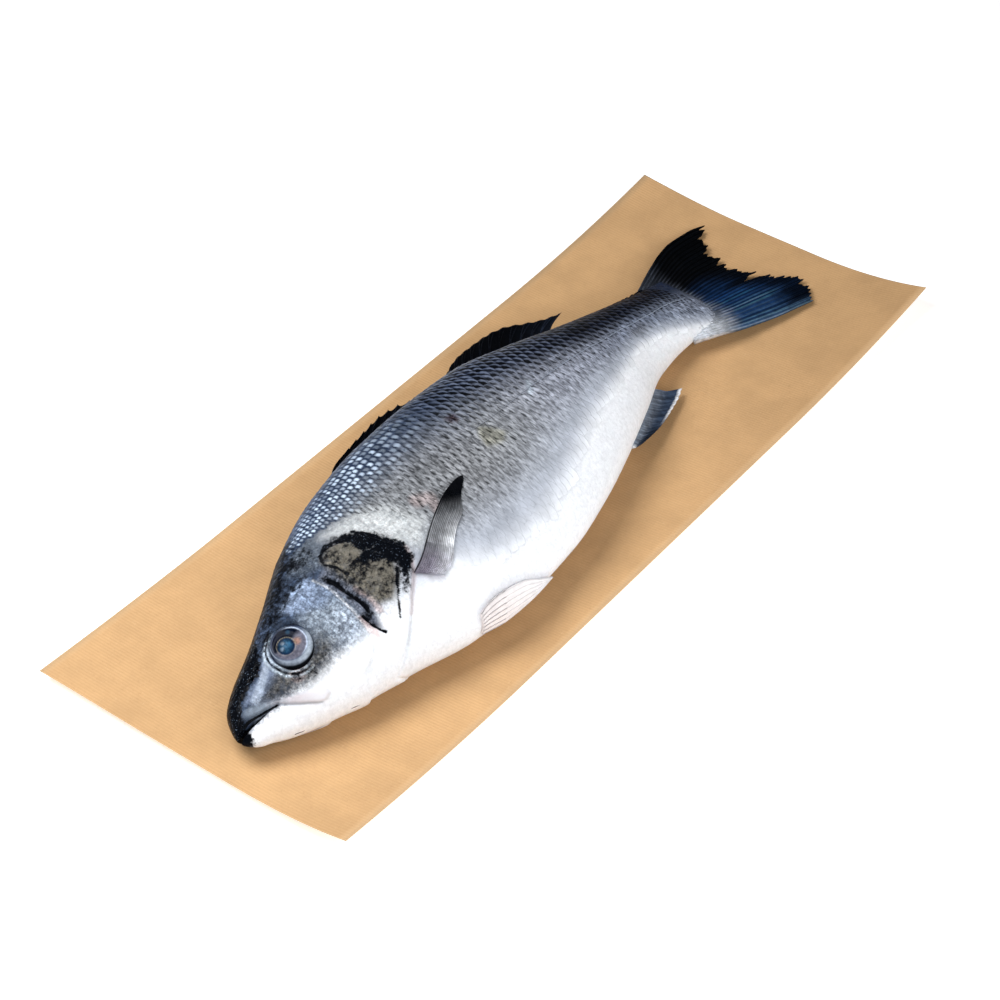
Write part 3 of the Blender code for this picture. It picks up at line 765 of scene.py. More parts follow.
def skin_ink_and_shade(place, angle, points, head):
    """How much black each place has, as black pigment or as painted shade: the most that any of these marks
    gives it.
    """
    along, down, _ = place
    distance = eye_distance(place)
    all_round = (along, np.degrees(angle) % 360, place[2])
    # Painted shade: the dark in the cheek grooves, the gill-cover slit, the gape's front and the chin slits.
    lines = [
        (place, CHEEK_GROOVE, 0.8, 1.1), (place, CHEEK_GROOVE_LOW, 0.3, 1.1), (place, COVER_SLIT, 0.4, 0.8),
        (place, GAPE[:4], 0.3, 0.7), (place, COVER_FRONT_LINE, 0.4, 1.2), (place, COVER_REAR_LINE, 0.3, 1.2),
        *[(all_round, slit, 0.5, 0.6) for slit in CHIN_SLITS],
    ]
    return np.maximum.reduce([
        area(place, SNOUT_BLACK, 2.2),
        1.06 * area(place, COVER_BLACK, 3.2),
        0.68 * area(place, CROWN_DARK, 7.0),
        1 - smooth_step(along, 1.5, 5.0),
        0.42 * area(place, COVER_TAN, 1.0) + 0.44 * area(place, BEHIND_CHEEK, 1.6),
        0.36 * area(place, UNDER_EYE, 3.6),
        0.56 * head * smooth_step(down, 10, 30) * (1 - smooth_step(down, 56, 76)),
        0.5 * spot(place, RED_MARK, 3.2, 0.6),
        0.46 * stroke(place, LONG_STREAK, 0.8, 1.4, 0.5),
        # Painted shade in the crease between the two folds in front of the eye.
        0.75 * smooth_step(EYE_PLACE[0] + 1 - along, 0, 5) * bump(distance - 9.9, 0.5),
        *[stroke(where, line, width, fade, 0.5) for where, line, width, fade in lines],
        # Painted shade inside the open mouth.
        1.2 * mouth_depth(points),
        # Painted shade in the socket round the eyeball.
        0.9 * (distance < EYE_RADIUS - 0.4),
    ])


def skin_reading(station, angle, points):
    """Colour, black pigment and painted shade, speckle and water on the skin at each place."""
    place = flank_place(station, angle)
    along, down, _ = place
    head = 1 - smooth_step(along, 62, 84)
    speckle = np.maximum.reduce([
        np.clip(head * smooth_step(-down, -130, -108) + 0.1, 0, 1),
        0.7 * smooth_step(along, 300, 312),
        0.45 * area(place, FIRST_SCALES, 5.0),
    ])
    speckle = speckle * (1 - 0.7 * area(place, UPPER_LIP, 0.8)) * (1 - 0.6 * area(place, SNOUT_SILVER, 2.0))
    wet = np.clip(area(place, SNOUT_BLACK, 4.0) + 0.6 * area(place, COVER_BLACK, 3.0) + 0.06, 0, 1)
    ink_and_shade = skin_ink_and_shade(place, angle, points, head)
    return {"tint": skin_colour(place, head), "ink_and_shade": ink_and_shade, "speckle": speckle, "wet": wet}


# %% [markdown]
# ## The skin
# A fine closed mesh follows the same sections as the solid, close together at the snout and on the upper
# flank, where the camera sees it, and wider apart below.

# %% Skin material
SKIN_GRAIN = ((170.0, 0.25), (520.0, 0.42), (1500.0, 0.5))
GRAIN_ALONG_FISH = (1.0, 0.26, 0.26)
SEAM_BLUE = srgb(52, 60, 74)
GLINT_GREY = srgb(126, 142, 164)


def make_skin_material():
    material, place = new_material("wet_skin")
    speckle, wet, ink_and_shade = (reading(place, name) for name in ("speckle", "wet", "ink_and_shade"))
    colour = reading(place, "tint", "Color")
    for scale, amount in SKIN_GRAIN:
        colour = cloudy(place, colour, scale, speckle * amount)
    colour = cloudy(place.stretched(*GRAIN_ALONG_FISH), colour, 1000.0, speckle * 0.3)
    inputs = {"Vector": place, "Scale": PIGMENT_GRAIN}
    cells = put(place.tree, "ShaderNodeTexVoronoi", inputs, feature="F1")
    colour = colour.blend(cells.ease(0.35, 0.8) * (speckle * 0.55), SEAM_BLUE)
    black = ragged(place, ink_and_shade)
    colour = colour.blend(black, INK)
    # Small pale specks on the wet black skin are painted highlights.
    painted_glints = place.noise(1500.0, 3.0, 0.6).ease(0.61, 0.69) * black
    colour = colour.blend(painted_glints * (wet * 0.55), GLINT_GREY)
    rough, film = wet_film(place, 300.0, 0.5, 0.28)
    relief = (cells * speckle + film).relief(0.3, 0.6 * MM)
    return finish_with(material, {
        "Base Color": colour, "Roughness": wet * -0.14 + rough, "Normal": relief, "Specular IOR Level": 0.025,
        "Coat Weight": wet * 0.05, "Coat Roughness": 0.1, "Coat Normal": relief,
        "Subsurface Weight": 0.06, "Subsurface Scale": 2 * MM, "Subsurface Radius": (1.0, 0.5, 0.4),
    })


SKIN = make_skin_material()

# %% Skin mesh
NOSE_RINGS = 24
RING_POINTS = 264
CLOSER_ON_UPPER_FLANK = 0.35
# Where each part of the body ends, and the distance between its rings.
SNOUT_END, SNOUT_STEP = 30 * MM, 0.42 * MM
HEAD_END, HEAD_STEP = 100 * MM, 0.66 * MM
TRUNK_STEP = 1.75 * MM


def ring_stations():
    turn = np.linspace(math.radians(4), math.pi / 2, NOSE_RINGS)
    nose = NOSE_ROUNDING * (1 - np.cos(turn))
    spans = [(nose[-1], SNOUT_END, SNOUT_STEP), (SNOUT_END, HEAD_END, HEAD_STEP)]
    spans.append((HEAD_END, STATIONS[-1, 0], TRUNK_STEP))
    rest = [np.linspace(a, b, round((b - a) / step) + 1)[1:] for a, b, step in spans]
    return np.concatenate([nose, *rest])


def ring_angles():
    turn = np.linspace(0, 2 * math.pi, RING_POINTS, endpoint=False)
    return turn + CLOSER_ON_UPPER_FLANK * np.cos(turn)


stations, angles = np.meshgrid(ring_stations(), ring_angles(), indexing="ij")
smooth_body = body_surface(stations, angles)
raised = head_relief(stations, angles, smooth_body)[..., None]
skin_points = lay_down(smooth_body + body_normal(stations, angles) * raised)
skin_mesh = closed_skin("skin", skin_points, skin_reading(stations, angles, smooth_body))
add_piece("skin", skin_mesh, SKIN, ["sea_bass"])

# %% [markdown]
# ## Geometry trees
# A geometry tree takes a mesh and returns another.  This helper runs one: it sets the named sizes on the
# modifier, evaluates the object once and keeps the result as a plain mesh, so no modifier is left.

# %% Geometry tree helpers
def new_geometry_tree(name, sizes):
    """An empty tree that takes a mesh and the given sizes and makes a mesh."""
    return new_tree(name, "GeometryNodeTree", {"Geometry": "Geometry", **sizes}, {"Geometry": "Geometry"})


def close_tree(tree, geometry, finish, result):
    """Ends a tree as the export needs: instances made real, shaded smooth, and the material set."""
    real = put(tree, "GeometryNodeRealizeInstances", {"Geometry": geometry})
    smooth = put(tree, "GeometryNodeSetShadeSmooth", {"Geometry": real})
    fill(result, {"Geometry": put(tree, "GeometryNodeSetMaterial", {"Geometry": smooth, "Material": finish})})
    return tree


def run_tree(name, tree, mesh, values):
    """The tree's result on a mesh, with its inputs set by their identifiers."""
    thing = bpy.data.objects.new(name, mesh)
    bpy.context.scene.collection.objects.link(thing)
    modifier = thing.modifiers.new(name, "NODES")
    modifier.node_group = tree
    for item in tree.interface.items_tree:
        if item.in_out == "INPUT" and item.name in values:
            modifier[item.identifier] = values[item.name]
    graph = bpy.context.evaluated_depsgraph_get()
    made = bpy.data.meshes.new_from_object(thing.evaluated_get(graph))
    made.name = name
    bpy.data.objects.remove(thing, do_unlink=True)
    return made


# %% [markdown]
# ## Scales
# Real scales sit in rows along the body, each row shifted by half a scale, like roof tiles with their free
# edges towards the tail.  The rows are measured off from the lateral line, and the pitch shrinks towards the
# nape and the tail.  Modelling one scale and instancing it on points keeps every free edge a real edge.

# %% Scale rows
# The distance between scales in a row and between rows, in mm, at stations along the body.
PITCH_ALONG = {
    60: 1.9, 82: 2.0, 96: 2.3, 109: 2.6, 125: 3.1, 150: 3.15,
    175: 3.4, 190: 3.85, 220: 4.2, 265: 4.2, 295: 3.5, 324: 2.6,
}
PITCH_ACROSS = {
    60: 2.0, 82: 2.1, 96: 2.3, 109: 2.8, 125: 3.4, 150: 4.4,
    175: 4.1, 190: 3.75, 220: 3.5, 265: 3.4, 295: 2.8, 324: 2.0,
}
COLUMN_LEAN = 0.18
SCALED_FROM = 60
SCALED_TO = 322
ROWS_ABOVE_LINE = 30
ROWS_BELOW_LINE = 42
JITTER_IN_MM_AND_DEGREES = (0.16, 0.3)
# The lateral line as (station, degrees).
LATERAL_LINE = [
    (70, 70), (85, 73), (100, 76), (116, 79), (146, 84.4), (158, 86.3), (165, 87.4), (180, 88.5),
    (200, 89.3), (215, 89.1), (240, 89.5), (260, 91.6), (275, 93.4), (290, 92.7), (300, 90), (324, 87.5),
]
# Where the scales start and end: stations in mm at degrees from the ridge, as (degrees, station).
SCALES_START = [
    (0, 62), (38, 66), (55, 77), (64, 87), (72, 94), (84, 102), (100, 106), (112, 104), (124, 94),
    (140, 86), (180, 82),
]
SCALES_END = [(0, 311), (60, 317), (90, 321), (130, 319), (180, 310)]
ANGLE_STEPS = 181


def at_station(sizes, along):
    return np.interp(along, list(sizes), list(sizes.values()))


def scale_places(side, generator):
    """Stations and angles of the scales on one flank, with their pitch along and across in mm."""
    fine = np.linspace(SCALED_FROM, SCALED_TO, 2 * (SCALED_TO - SCALED_FROM) + 1)
    count = np.concatenate([[0], np.cumsum(np.diff(fine) / at_station(PITCH_ALONG, fine[1:]))])
    around = np.radians(np.linspace(0, 180, ANGLE_STEPS))
    girth = body_surface(fine[:, None] * MM, around[None, :]) / MM
    arc = np.linalg.norm(np.diff(girth, axis=1), axis=2)
    arc = np.concatenate([np.zeros((len(fine), 1)), np.cumsum(arc, axis=1)], axis=1)
    found = []
    for row in range(-ROWS_ABOVE_LINE, ROWS_BELOW_LINE):
        for station in np.interp(np.arange(0.5 * (row % 2), count[-1], 1.0), count, fine):
            across = row * at_station(PITCH_ACROSS, station)
            place = np.clip(station + COLUMN_LEAN * across, fine[0], fine[-1])
            lengths = arc[np.searchsorted(fine, place)]
            wanted = np.interp(math.radians(along_edge(LATERAL_LINE, place)), around, lengths) + across
            if 0 < wanted < lengths[-1]:
                found.append((place, np.degrees(np.interp(wanted, lengths, around)), station))
    found = np.array(found)
    start, end = along_edge(SCALES_START, found[:, 1]), along_edge(SCALES_END, found[:, 1])
    found = found[(found[:, 0] > start) & (found[:, 0] < end)]
    found[:, :2] += generator.normal(0, 1, (len(found), 2)) * JITTER_IN_MM_AND_DEGREES
    found[:, 1] = np.clip(found[:, 1], 0.5, 179.5)
    along, across = at_station(PITCH_ALONG, found[:, 2]), at_station(PITCH_ACROSS, found[:, 2])
    return found[:, 0] * MM, side * np.radians(found[:, 1]), along, across


LOWEST_SCALE = 3.4 * MM
LAST_BELLY_SHARE = 1.04
HEIGHT_OVER_SKIN = 0.15 * MM


def scale_points(name, side, seed):
    """A mesh of loose points, one for each scale, carrying its directions, colour and size."""
    generator = np.random.default_rng(seed)
    station, angle, along, across = scale_places(side, generator)
    points = body_surface(station, angle)
    kept = (points[:, 2] > LOWEST_SCALE) & (belly_share(flank_place(station, angle)) < LAST_BELLY_SHARE)
    station, angle, along, across, points = (part[kept] for part in (station, angle, along, across, points))
    outward = body_normal(station, angle)
    tailward = body_surface(station + MM, angle) - points
    place = flank_place(station, angle)
    share = belly_share(place)
    pick = generator.random(len(points))
    nape = (1 - smooth_step(place[0], 105, 155)) * (1 - smooth_step(place[1], 56, 78))
    dark = (1 - smooth_step(share, 0.0, 0.55)) * smooth_step(place[0], 120, 180)
    mesh = bpy.data.meshes.new(name)
    mesh.from_pydata((points + outward * HEIGHT_OVER_SKIN).tolist(), [], [])
    for label, values in {
        "outward": outward,
        "tailward": tailward / np.linalg.norm(tailward, axis=1, keepdims=True),
        "long": along,
        "wide": across,
        "tall": along * (1 - 0.8 * smooth_step(share, 0.55, 1.04)),
        "contrast": (1 - 0.8 * area(place, SHOULDER, 5.0)) * (1 - smooth_step(share, 0.5, 0.98)),
        # Where the nape scales carry a painted glint of light.
        "glint": smooth_step(place[1], 24, 44) * nape,
        "dark": dark,
        "pale": dark * (0.35 + 0.5 * pick) * (1 - 0.75 * smooth_step(place[0], 205, 250)),
        "pick": pick,
    }.items():
        store(mesh, label, values)
    return mesh


def place_on_body(points):
    """The station and angle of points that lie on the skin or a little above it."""
    station = points[:, 0] - SNOUT_X
    back, belly = (smooth_through(STATIONS[:, 0], STATIONS[:, column], station) for column in (1, 2))
    across = np.clip((2 * points[:, 1] - back - belly) / (back - belly), -1, 1)
    return station, np.arccos(np.sign(across) * np.abs(across) ** (1 / SECTION_POWER))


def paint_scales(mesh):
    """Gives each point of the finished scales the colour of its own place, so that stains cross them."""
    points = np.empty(len(mesh.vertices) * 3)
    mesh.vertices.foreach_get("co", points)
    points = points.reshape(-1, 3)
    found = skin_reading(*place_on_body(points), points)
    for label in ("tint", "ink_and_shade"):
        store(mesh, label, found[label])


# %% [markdown]
# One scale is a little shield, domed across and tilted so that its root lies under its neighbours.  Its last
# row of points folds down, which gives the free edge a thickness.  A scale has two dozen faces and there are
# two thousand of them, so nothing finer would pay.

# %% One scale
# A scale is longer and wider than its pitch, so that it slides under its neighbours.
SCALE_LENGTH = 1.62 * MM
SCALE_WIDTH = 1.9 * MM
SCALE_RISE = 0.33
SCALE_DOME = 0.26 * MM
SCALE_EDGE = 0.16 * MM
SCALE_TILT = 0.115
SCALE_RINGS = (0, 0.3, 0.55, 0.78, 0.94, 1.0, 1.0)
SCALE_COLUMNS = 5
BEFORE_ITS_POINT = 0.62
EDGE_ROUNDING = 0.24
ROOT_WIDTH = 0.72
TIP_DROOP = 0.10 * MM


def make_scale_template():
    u, v = np.meshgrid(SCALE_RINGS, np.linspace(-1, 1, SCALE_COLUMNS), indexing="ij")
    x = SCALE_LENGTH * (u * (1 - EDGE_ROUNDING * v**2) - BEFORE_ITS_POINT)
    y = SCALE_WIDTH / 2 * v * (ROOT_WIDTH + (1 - ROOT_WIDTH) * np.minimum(u * 2.5, 1))
    z = SCALE_TILT * x / SCALE_RISE - SCALE_DOME * v**2 - TIP_DROOP * smooth_step(u, 0.8, 1.0)
    z[-1] -= SCALE_EDGE
    points = np.stack([x, y, z], axis=-1).reshape(-1, 3)
    corner = np.arange(u.size).reshape(u.shape)
    faces = np.stack([corner[:-1, :-1], corner[1:, :-1], corner[1:, 1:], corner[:-1, 1:]], axis=-1)
    faces = faces.reshape(-1, 4)
    mesh = bpy.data.meshes.new("one_scale")
    mesh.from_pydata(points.tolist(), [], faces.tolist())
    layer = mesh.uv_layers.new(name="scale_map")
    flat = np.stack([u, v / 2 + 0.5], axis=-1).reshape(-1, 2)
    layer.data.foreach_set("uv", flat[faces.ravel()].astype(np.float32).ravel())
    return mesh


template = bpy.data.objects.new("one_scale", make_scale_template())
bpy.context.scene.collection.objects.link(template)
print("one scale:", len(template.data.polygons), "faces")


# %% [markdown]
# The tree sets the scale on every point, turns its face outwards and its free edge to the tail, and shakes
# each one a little so that the rows glitter unevenly.

# %% Scale tree
UNEVENNESS = 0.022


def make_scale_tree():
    sizes = {"Scale": "Object", "Finish": "Material", "Rise": "Float", "Unevenness": "Float", "Seed": "Int"}
    tree, (points, scale, finish, rise, uneven, seed), result = new_geometry_tree("rows_of_scales", sizes)
    one = put(tree, "GeometryNodeObjectInfo", {"Object": scale}, "Geometry")
    outward, tailward, long, wide, tall = (
        put(tree, "GeometryNodeInputNamedAttribute", {"Name": label}, data_type=kind)
        for label, kind in (("outward", "FLOAT_VECTOR"), ("tailward", "FLOAT_VECTOR"),
                            ("long", "FLOAT"), ("wide", "FLOAT"), ("tall", "FLOAT"))
    )
    size = put(tree, "ShaderNodeCombineXYZ", {0: long, 1: wide, 2: tall * rise})
    facing = put(tree, "FunctionNodeAxesToRotation", {0: outward, 1: tailward},
                 primary_axis="Z", secondary_axis="X")
    shake = put(tree, "FunctionNodeRandomValue", {0: uneven * -1.0, 1: uneven, "Seed": seed},
                data_type="FLOAT_VECTOR")
    turned = put(tree, "FunctionNodeRotateRotation", {0: facing, 1: shake}, rotation_space="LOCAL")
    inputs = {"Points": points, "Instance": one, "Rotation": turned, "Scale": size}
    return close_tree(tree, put(tree, "GeometryNodeInstanceOnPoints", inputs), finish, result)


SCALE_TREE = make_scale_tree()


# %% [markdown]
# A scale's own map runs from its root to its free edge.  Dark pigment and painted shade show as a short
# dash where one scale comes out from under the next: nearly all of the scale is dark on the back, a thin dash
# on the flank, and none on the belly.  Near the nape the free part of a scale also carries a painted
# highlight.

# %% Scale material
EDGE_GREY = srgb(108, 119, 142)
NAPE_NIGHT = srgb(38, 50, 72)
# The colour of the painted glints of light on the nape scales.
GLINT_WHITE = srgb(196, 214, 236)
# Places along a scale, 0 at its root and 1 at its free edge; each start comes in over a short span.
DASH_START = (0.34, 0.41)
DASH_END = 0.52
LENS_START = (0.54, 0.7)
PALE_EDGE_START = (0.74, 0.84)


def make_scale_material():
    material, place = new_material("scales")
    spread = put(place.tree, "ShaderNodeUVMap", uv_map="scale_map")
    along, across = spread.part(0), spread.part(1)
    pick, glint, dark, contrast, ink_and_shade, pale = (
        reading(place, name) for name in ("pick", "glint", "dark", "contrast", "ink_and_shade", "pale")
    )
    off_middle = (across - 0.5).maths("ABSOLUTE")
    wander = place.noise(500.0, 4.0, 0.65) - 0.5
    shift = wander * 0.32 + along + (across - 0.5) * (dark * 0.4 + 0.06)
    # The dark dash: where it starts and ends along the scale, its width, and how strong it is on this one.
    band = shift.ease(*DASH_START) * (shift - (dark * 0.24 + DASH_END)).fall(0.0, 0.09)
    band = band * (dark * -0.2 + (wander * 0.3 + off_middle)).fall(0.2, 0.36)
    band = band * (dark * 0.5 + pick.ease(0.0, 0.8, 0.35, 1.0)).maths("MINIMUM", 1.0)
    level = band * (dark * 0.3 - 1.0) + (dark * -0.5 + 1.24)
    level = (level - 1.0 + pick.ease(0.0, 1.0, -0.2, 0.16)) * contrast + 1.0
    colour = reading(place, "tint", "Color").blend(1.0, level.maths("MAXIMUM", 0.05), "MULTIPLY")
    colour = cloudy(place, colour, 90.0, 0.14)
    colour = cloudy(place.stretched(*GRAIN_ALONG_FISH), colour, 1100.0, contrast * 0.72 + 0.04)
    # A pale stroke at the free edge of dark scales: partly their pale rim, partly a painted glint of light.
    edge = shift.ease(*PALE_EDGE_START) * off_middle.fall(0.16, 0.36) * pale
    colour = colour.blend(edge, EDGE_GREY)
    # A painted highlight, a glint of light, on the free part, with a dark surround.
    lens = shift.ease(*LENS_START) * off_middle.fall(0.06, 0.3) * along.ease(0.86, 1.0, 1.0, 0.25)
    colour = colour.blend(glint * (lens * -0.75 + 0.75), NAPE_NIGHT)
    colour = colour.blend(lens * (glint * pick.ease(0.0, 0.9, 0.2, 1.0)), GLINT_WHITE)
    colour = colour.blend(ragged(place, ink_and_shade), INK)
    rings = (along * 90.0).maths("SINE")
    return finish_with(material, {
        "Base Color": colour, "Roughness": wet_film(place, 400.0, 0.5, 0.3)[0],
        "Normal": rings.relief(0.1, 0.1 * MM), "Specular IOR Level": 0.02,
    })


SCALES = make_scale_material()
for name, side, seed in (("scales_upper_flank", 1, 11), ("scales_lower_flank", -1, 12)):
    source = scale_points(name + "_points", side, seed)
    print(name, len(source.vertices), "scales")
    values = {"Scale": template, "Finish": SCALES, "Rise": SCALE_RISE, "Unevenness": UNEVENNESS, "Seed": seed}
    scales = run_tree(name, SCALE_TREE, source, values)
    paint_scales(scales)
    add_piece(name, scales, SCALES)
bpy.data.objects.remove(template, do_unlink=True)


# %% [markdown]
# ## The lateral line
# Along each flank runs a thin pale line: a canal under the skin that opens through one scale in every column.
# It is a row of short tubes, and a geometry tree that gives any line of points a round section makes them.
# The same tree later makes every bony ray of the fins.

# %% Tubes along lines
TUBE_SIDES = 6


def make_tube_tree():
    tree, (lines, finish, sides), result = new_geometry_tree(
        "tubes_along_lines", {"Finish": "Material", "Sides": "Int"})
    half = put(tree, "GeometryNodeInputNamedAttribute", {"Name": "half"}, data_type="FLOAT")
    line = put(tree, "GeometryNodeMeshToCurve", {"Mesh": lines})
    sized = put(tree, "GeometryNodeSetCurveRadius", {"Curve": line, "Radius": half})
    profile = put(tree, "GeometryNodeCurvePrimitiveCircle", {"Resolution": sides, "Radius": 1.0})
    inputs = {"Curve": sized, "Profile Curve": profile, "Fill Caps": True}
    tube = put(tree, "GeometryNodeCurveToMesh", inputs)
    if "Scale" in tube.socket.node.inputs:
        fill(tube.socket.node, {"Scale": half})
    return close_tree(tree, tube, finish, result)


TUBE_TREE = make_tube_tree()


def tubes(name, lines, halves, tints, material):
    """Round tubes along lines of points, each point with its own half width and colour."""
    mesh = bpy.data.meshes.new(name + "_lines")
    edges, start = [], 0
    for line in lines:
        edges += [(start + i, start + i + 1) for i in range(len(line) - 1)]
        start += len(line)
    mesh.from_pydata(np.concatenate(lines).tolist(), edges, [])
    store(mesh, "tint", np.concatenate(tints))
    store(mesh, "half", np.concatenate(halves))
    made = run_tree(name, TUBE_TREE, mesh, {"Finish": material, "Sides": TUBE_SIDES})
    add_piece(name, made, material)


# %% [markdown]
# The fins and the canal share one finish: a colour carried by the mesh, broken by fine cloudiness, under a
# film of water.  The cream belly fin is hardly cloudy at all, because dark specks would show on it.

# %% Fin material
def make_fin_material(name, gain, mottle=0.3):
    material, place = new_material(name)
    colour = cloudy(place, reading(place, "tint", "Color"), 350.0, mottle)
    colour = colour.blend(1.0, (gain, gain, gain, 1), "MULTIPLY")
    rough, film = wet_film(place, 260.0, 0.5, 0.28)
    return finish_with(material, {
        "Base Color": colour, "Roughness": rough, "Normal": film.relief(0.3, 0.4 * MM),
        "Specular IOR Level": 0.04,
    })


FIN_SKIN = make_fin_material("fin_skin", 1.0)
FIN_RAY = make_fin_material("fin_rays", 1.25)
PALE_FIN = make_fin_material("pale_fin", 1.0, 0.06)

# %% Lateral line
CANAL_HALF = 0.2 * MM
CANAL_PALE = srgb(146, 156, 172)
CANAL_HEIGHT = 0.36 * MM
CANAL_FROM = 154.0
CANAL_TO = 316
# How high each tube stands, and how wide it is, from its front end to its rear end.
TUBE_RISE = np.array([0.3, 0.9, 1.1, 1.1, 0.9])
TUBE_WIDTH = np.array([0.8, 1.0, 1.0, 1.0, 0.7])


def add_lateral_line():
    lines, halves, tints = [], [], []
    for side in (1, -1):
        start = CANAL_FROM
        while start < CANAL_TO:
            step = at_station(PITCH_ALONG, start)
            along = np.linspace(start, start + 0.9 * step, len(TUBE_RISE))
            angle = side * np.radians(along_edge(LATERAL_LINE, along))
            lift = CANAL_HEIGHT * TUBE_RISE[:, None]
            points = body_surface(along * MM, angle) + body_normal(along * MM, angle) * lift
            lines.append(lay_down(points))
            halves.append(CANAL_HALF * TUBE_WIDTH)
            clear = 0.1 + 0.7 * smooth_step(start, 150, 240)
            tints.append(painted(body_colour(flank_place(along * MM, angle)), [(clear, CANAL_PALE)]))
            start += step
    tubes("lateral_line", lines, halves, tints, FIN_SKIN)


add_lateral_line()


# %% [markdown]
# ## Fins
# A fin is a thin skin held open by bony rays.  The skin is a patch between four edges: the first ray, the
# last ray, the root and the rim.  Between the rays the rim is a little notched, and on this tail it is torn.

# %% Fin patch
COLUMNS_PER_RAY = 4
FIN_ROWS = 30
RAY_POINTS = 60
MOST_LIGHTER = 0.06


def through(points, count):
    """Evenly spaced points on a curve through a few given ones."""
    points = np.array(points, float)
    run = np.concatenate([[0], np.cumsum(np.linalg.norm(np.diff(points, axis=0), axis=1))])
    at = np.linspace(0, run[-1], count)
    return np.stack([smooth_through(run, column, at) for column in points.T], axis=-1)


def notched(columns, rays, depth, tears=(), broken=0.0):
    """How much of each column is left between notches, broken tips, and tears as (place, share left)."""
    a = np.linspace(0, 1, columns)
    left = 1 - depth * np.abs(np.sin(math.pi * (rays - 1) * a)) ** 0.7
    tips = np.random.default_rng(rays).random(2 * rays)
    lost = broken * np.interp(a, np.linspace(0, 1, 2 * rays), tips) * (1 - smooth_step(a, 0.8, 0.9))
    left = left * (1 - lost)
    return left * along_edge(tears, a) if tears else left


def fin_patch(first, last, root, rim, rays, depth, per_ray=COLUMNS_PER_RAY, rows=FIN_ROWS, **damage):
    """Points of the fin: rows from root to rim, columns from the first ray to the last.

    The four edges are in mm, and the points are in metres.
    """
    columns = (rays - 1) * per_ray + 1
    a = np.linspace(0, 1, columns)[None, :, None] * np.ones((rows, 1, 1))
    t = np.linspace(0, 1, rows)[:, None, None] * notched(columns, rays, depth, **damage)[None, :, None]
    share = t[..., 0]

    def along_ray(points):
        at = np.linspace(0, 1, RAY_POINTS)
        return np.stack([np.interp(share, at, column) for column in through(points, RAY_POINTS).T], axis=-1)

    low, high = through(root, columns)[None], through(rim, columns)[None]
    corners = (1 - a) * (1 - t) * low[:, :1] + a * (1 - t) * low[:, -1:]
    corners = corners + (1 - a) * t * high[:, :1] + a * t * high[:, -1:]
    return ((1 - a) * along_ray(first) + a * along_ray(last) + (1 - t) * low + t * high - corners) * MM


# %% [markdown]
# Each fin is closed like a very flat bag, thick at the root and thin at the rim, with the skin hollowed a
# little between the rays.  Soft rays split in two on their way to the rim; spines do not.

# %% Fin builder
def add_fin(name, patch, rays, colour_of, half, ray_half, ray_gain, hollow, fork=0.2,
            finish=(FIN_SKIN, FIN_RAY)):
    """A fin's skin and its rays from a patch of points; colour_of gives its colours at (a, t).

    half is half the thickness in mm at root and rim, ray_half half the width of a ray, and hollow how deep
    the skin lies between rays.  ray_gain is how much brighter rays are, and fork how far their halves spread.
    """
    rows, columns = patch.shape[:2]
    a, t = np.meshgrid(np.linspace(0, 1, columns), np.linspace(0, 1, rows))
    normal = np.cross(np.gradient(patch, axis=0), np.gradient(patch, axis=1))
    normal /= np.linalg.norm(normal, axis=-1, keepdims=True) + 1e-15
    if normal[..., 2].mean() < 0:
        normal = -normal
    dip = hollow * MM * np.sin(math.pi * (rays - 1) * a) ** 2 * t**0.5
    thick = (half[0] + (half[1] - half[0]) * t ** 0.7)[..., None] * MM
    upper, lower = patch + normal * (thick - dip[..., None]), patch - normal * thick
    colour = colour_of(a, t)
    rings, tints = (
        np.concatenate([top, bottom[::-1]], axis=0).transpose(1, 0, 2)
        for top, bottom in ((upper, lower), (colour, colour))
    )
    add_piece(name, closed_skin(name, rings, {"tint": tints}, folded=True), finish[0])
    lines, halves, tints = [], [], []
    row = np.arange(rows)
    part = np.linspace(0, 1, rows)
    spread = 0.25 * (ray_gain - 0.8)
    brightness = np.random.default_rng(rays).uniform(1 - spread, 1 + spread, rays)
    for number in range(rays):
        middle = number * (columns - 1) / (rays - 1)
        for way in (-1, 1) if fork else (0,):
            split = way * fork * COLUMNS_PER_RAY * smooth_step(part, 0.3, 1.0)
            column = np.clip(middle + split, 0, columns - 1)
            low = np.floor(column).astype(int)
            high = np.minimum(low + 1, columns - 1)
            rest = (column - low)[:, None]
            point = patch[row, low] * (1 - rest) + patch[row, high] * rest
            under = colour[row, low]
            lines.append(point + normal[row, low] * thick[row, low] * 0.9)
            halves.append(ray_half * MM * (1 - 0.7 * part))
            tints.append(np.minimum(under * ray_gain * brightness[number], under + MOST_LIGHTER))
    tubes(name + "_rays", lines, halves, tints, finish[1])


# %% [markdown]
# The two fins of the back are black.  The spines of the first lie folded against the back; the soft second
# fin stands higher and is drawn out behind into a point.

# %% Fins of the back
FIN_BLACK = srgb(3, 4, 7)
FIN_SLATE = srgb(26, 33, 46)
SPINES = 9
SOFT_RAYS = 13


def streaked(colour, a, along_rays, strength, waves, sway, turns):
    """The colour darkened by uneven streaks along the rays."""
    streak = strength * np.sin(a * waves + sway * np.sin(a * turns)) ** 2 * along_rays
    return colour * (1 - streak)[..., None]


def black_fin(a, t):
    return painted(FIN_BLACK, [
        (0.5 * (1 - smooth_step(t, 0, 0.35)), FIN_SLATE),
        (0.35 * smooth_step(a, 0.6, 1.0), FIN_SLATE),
    ])


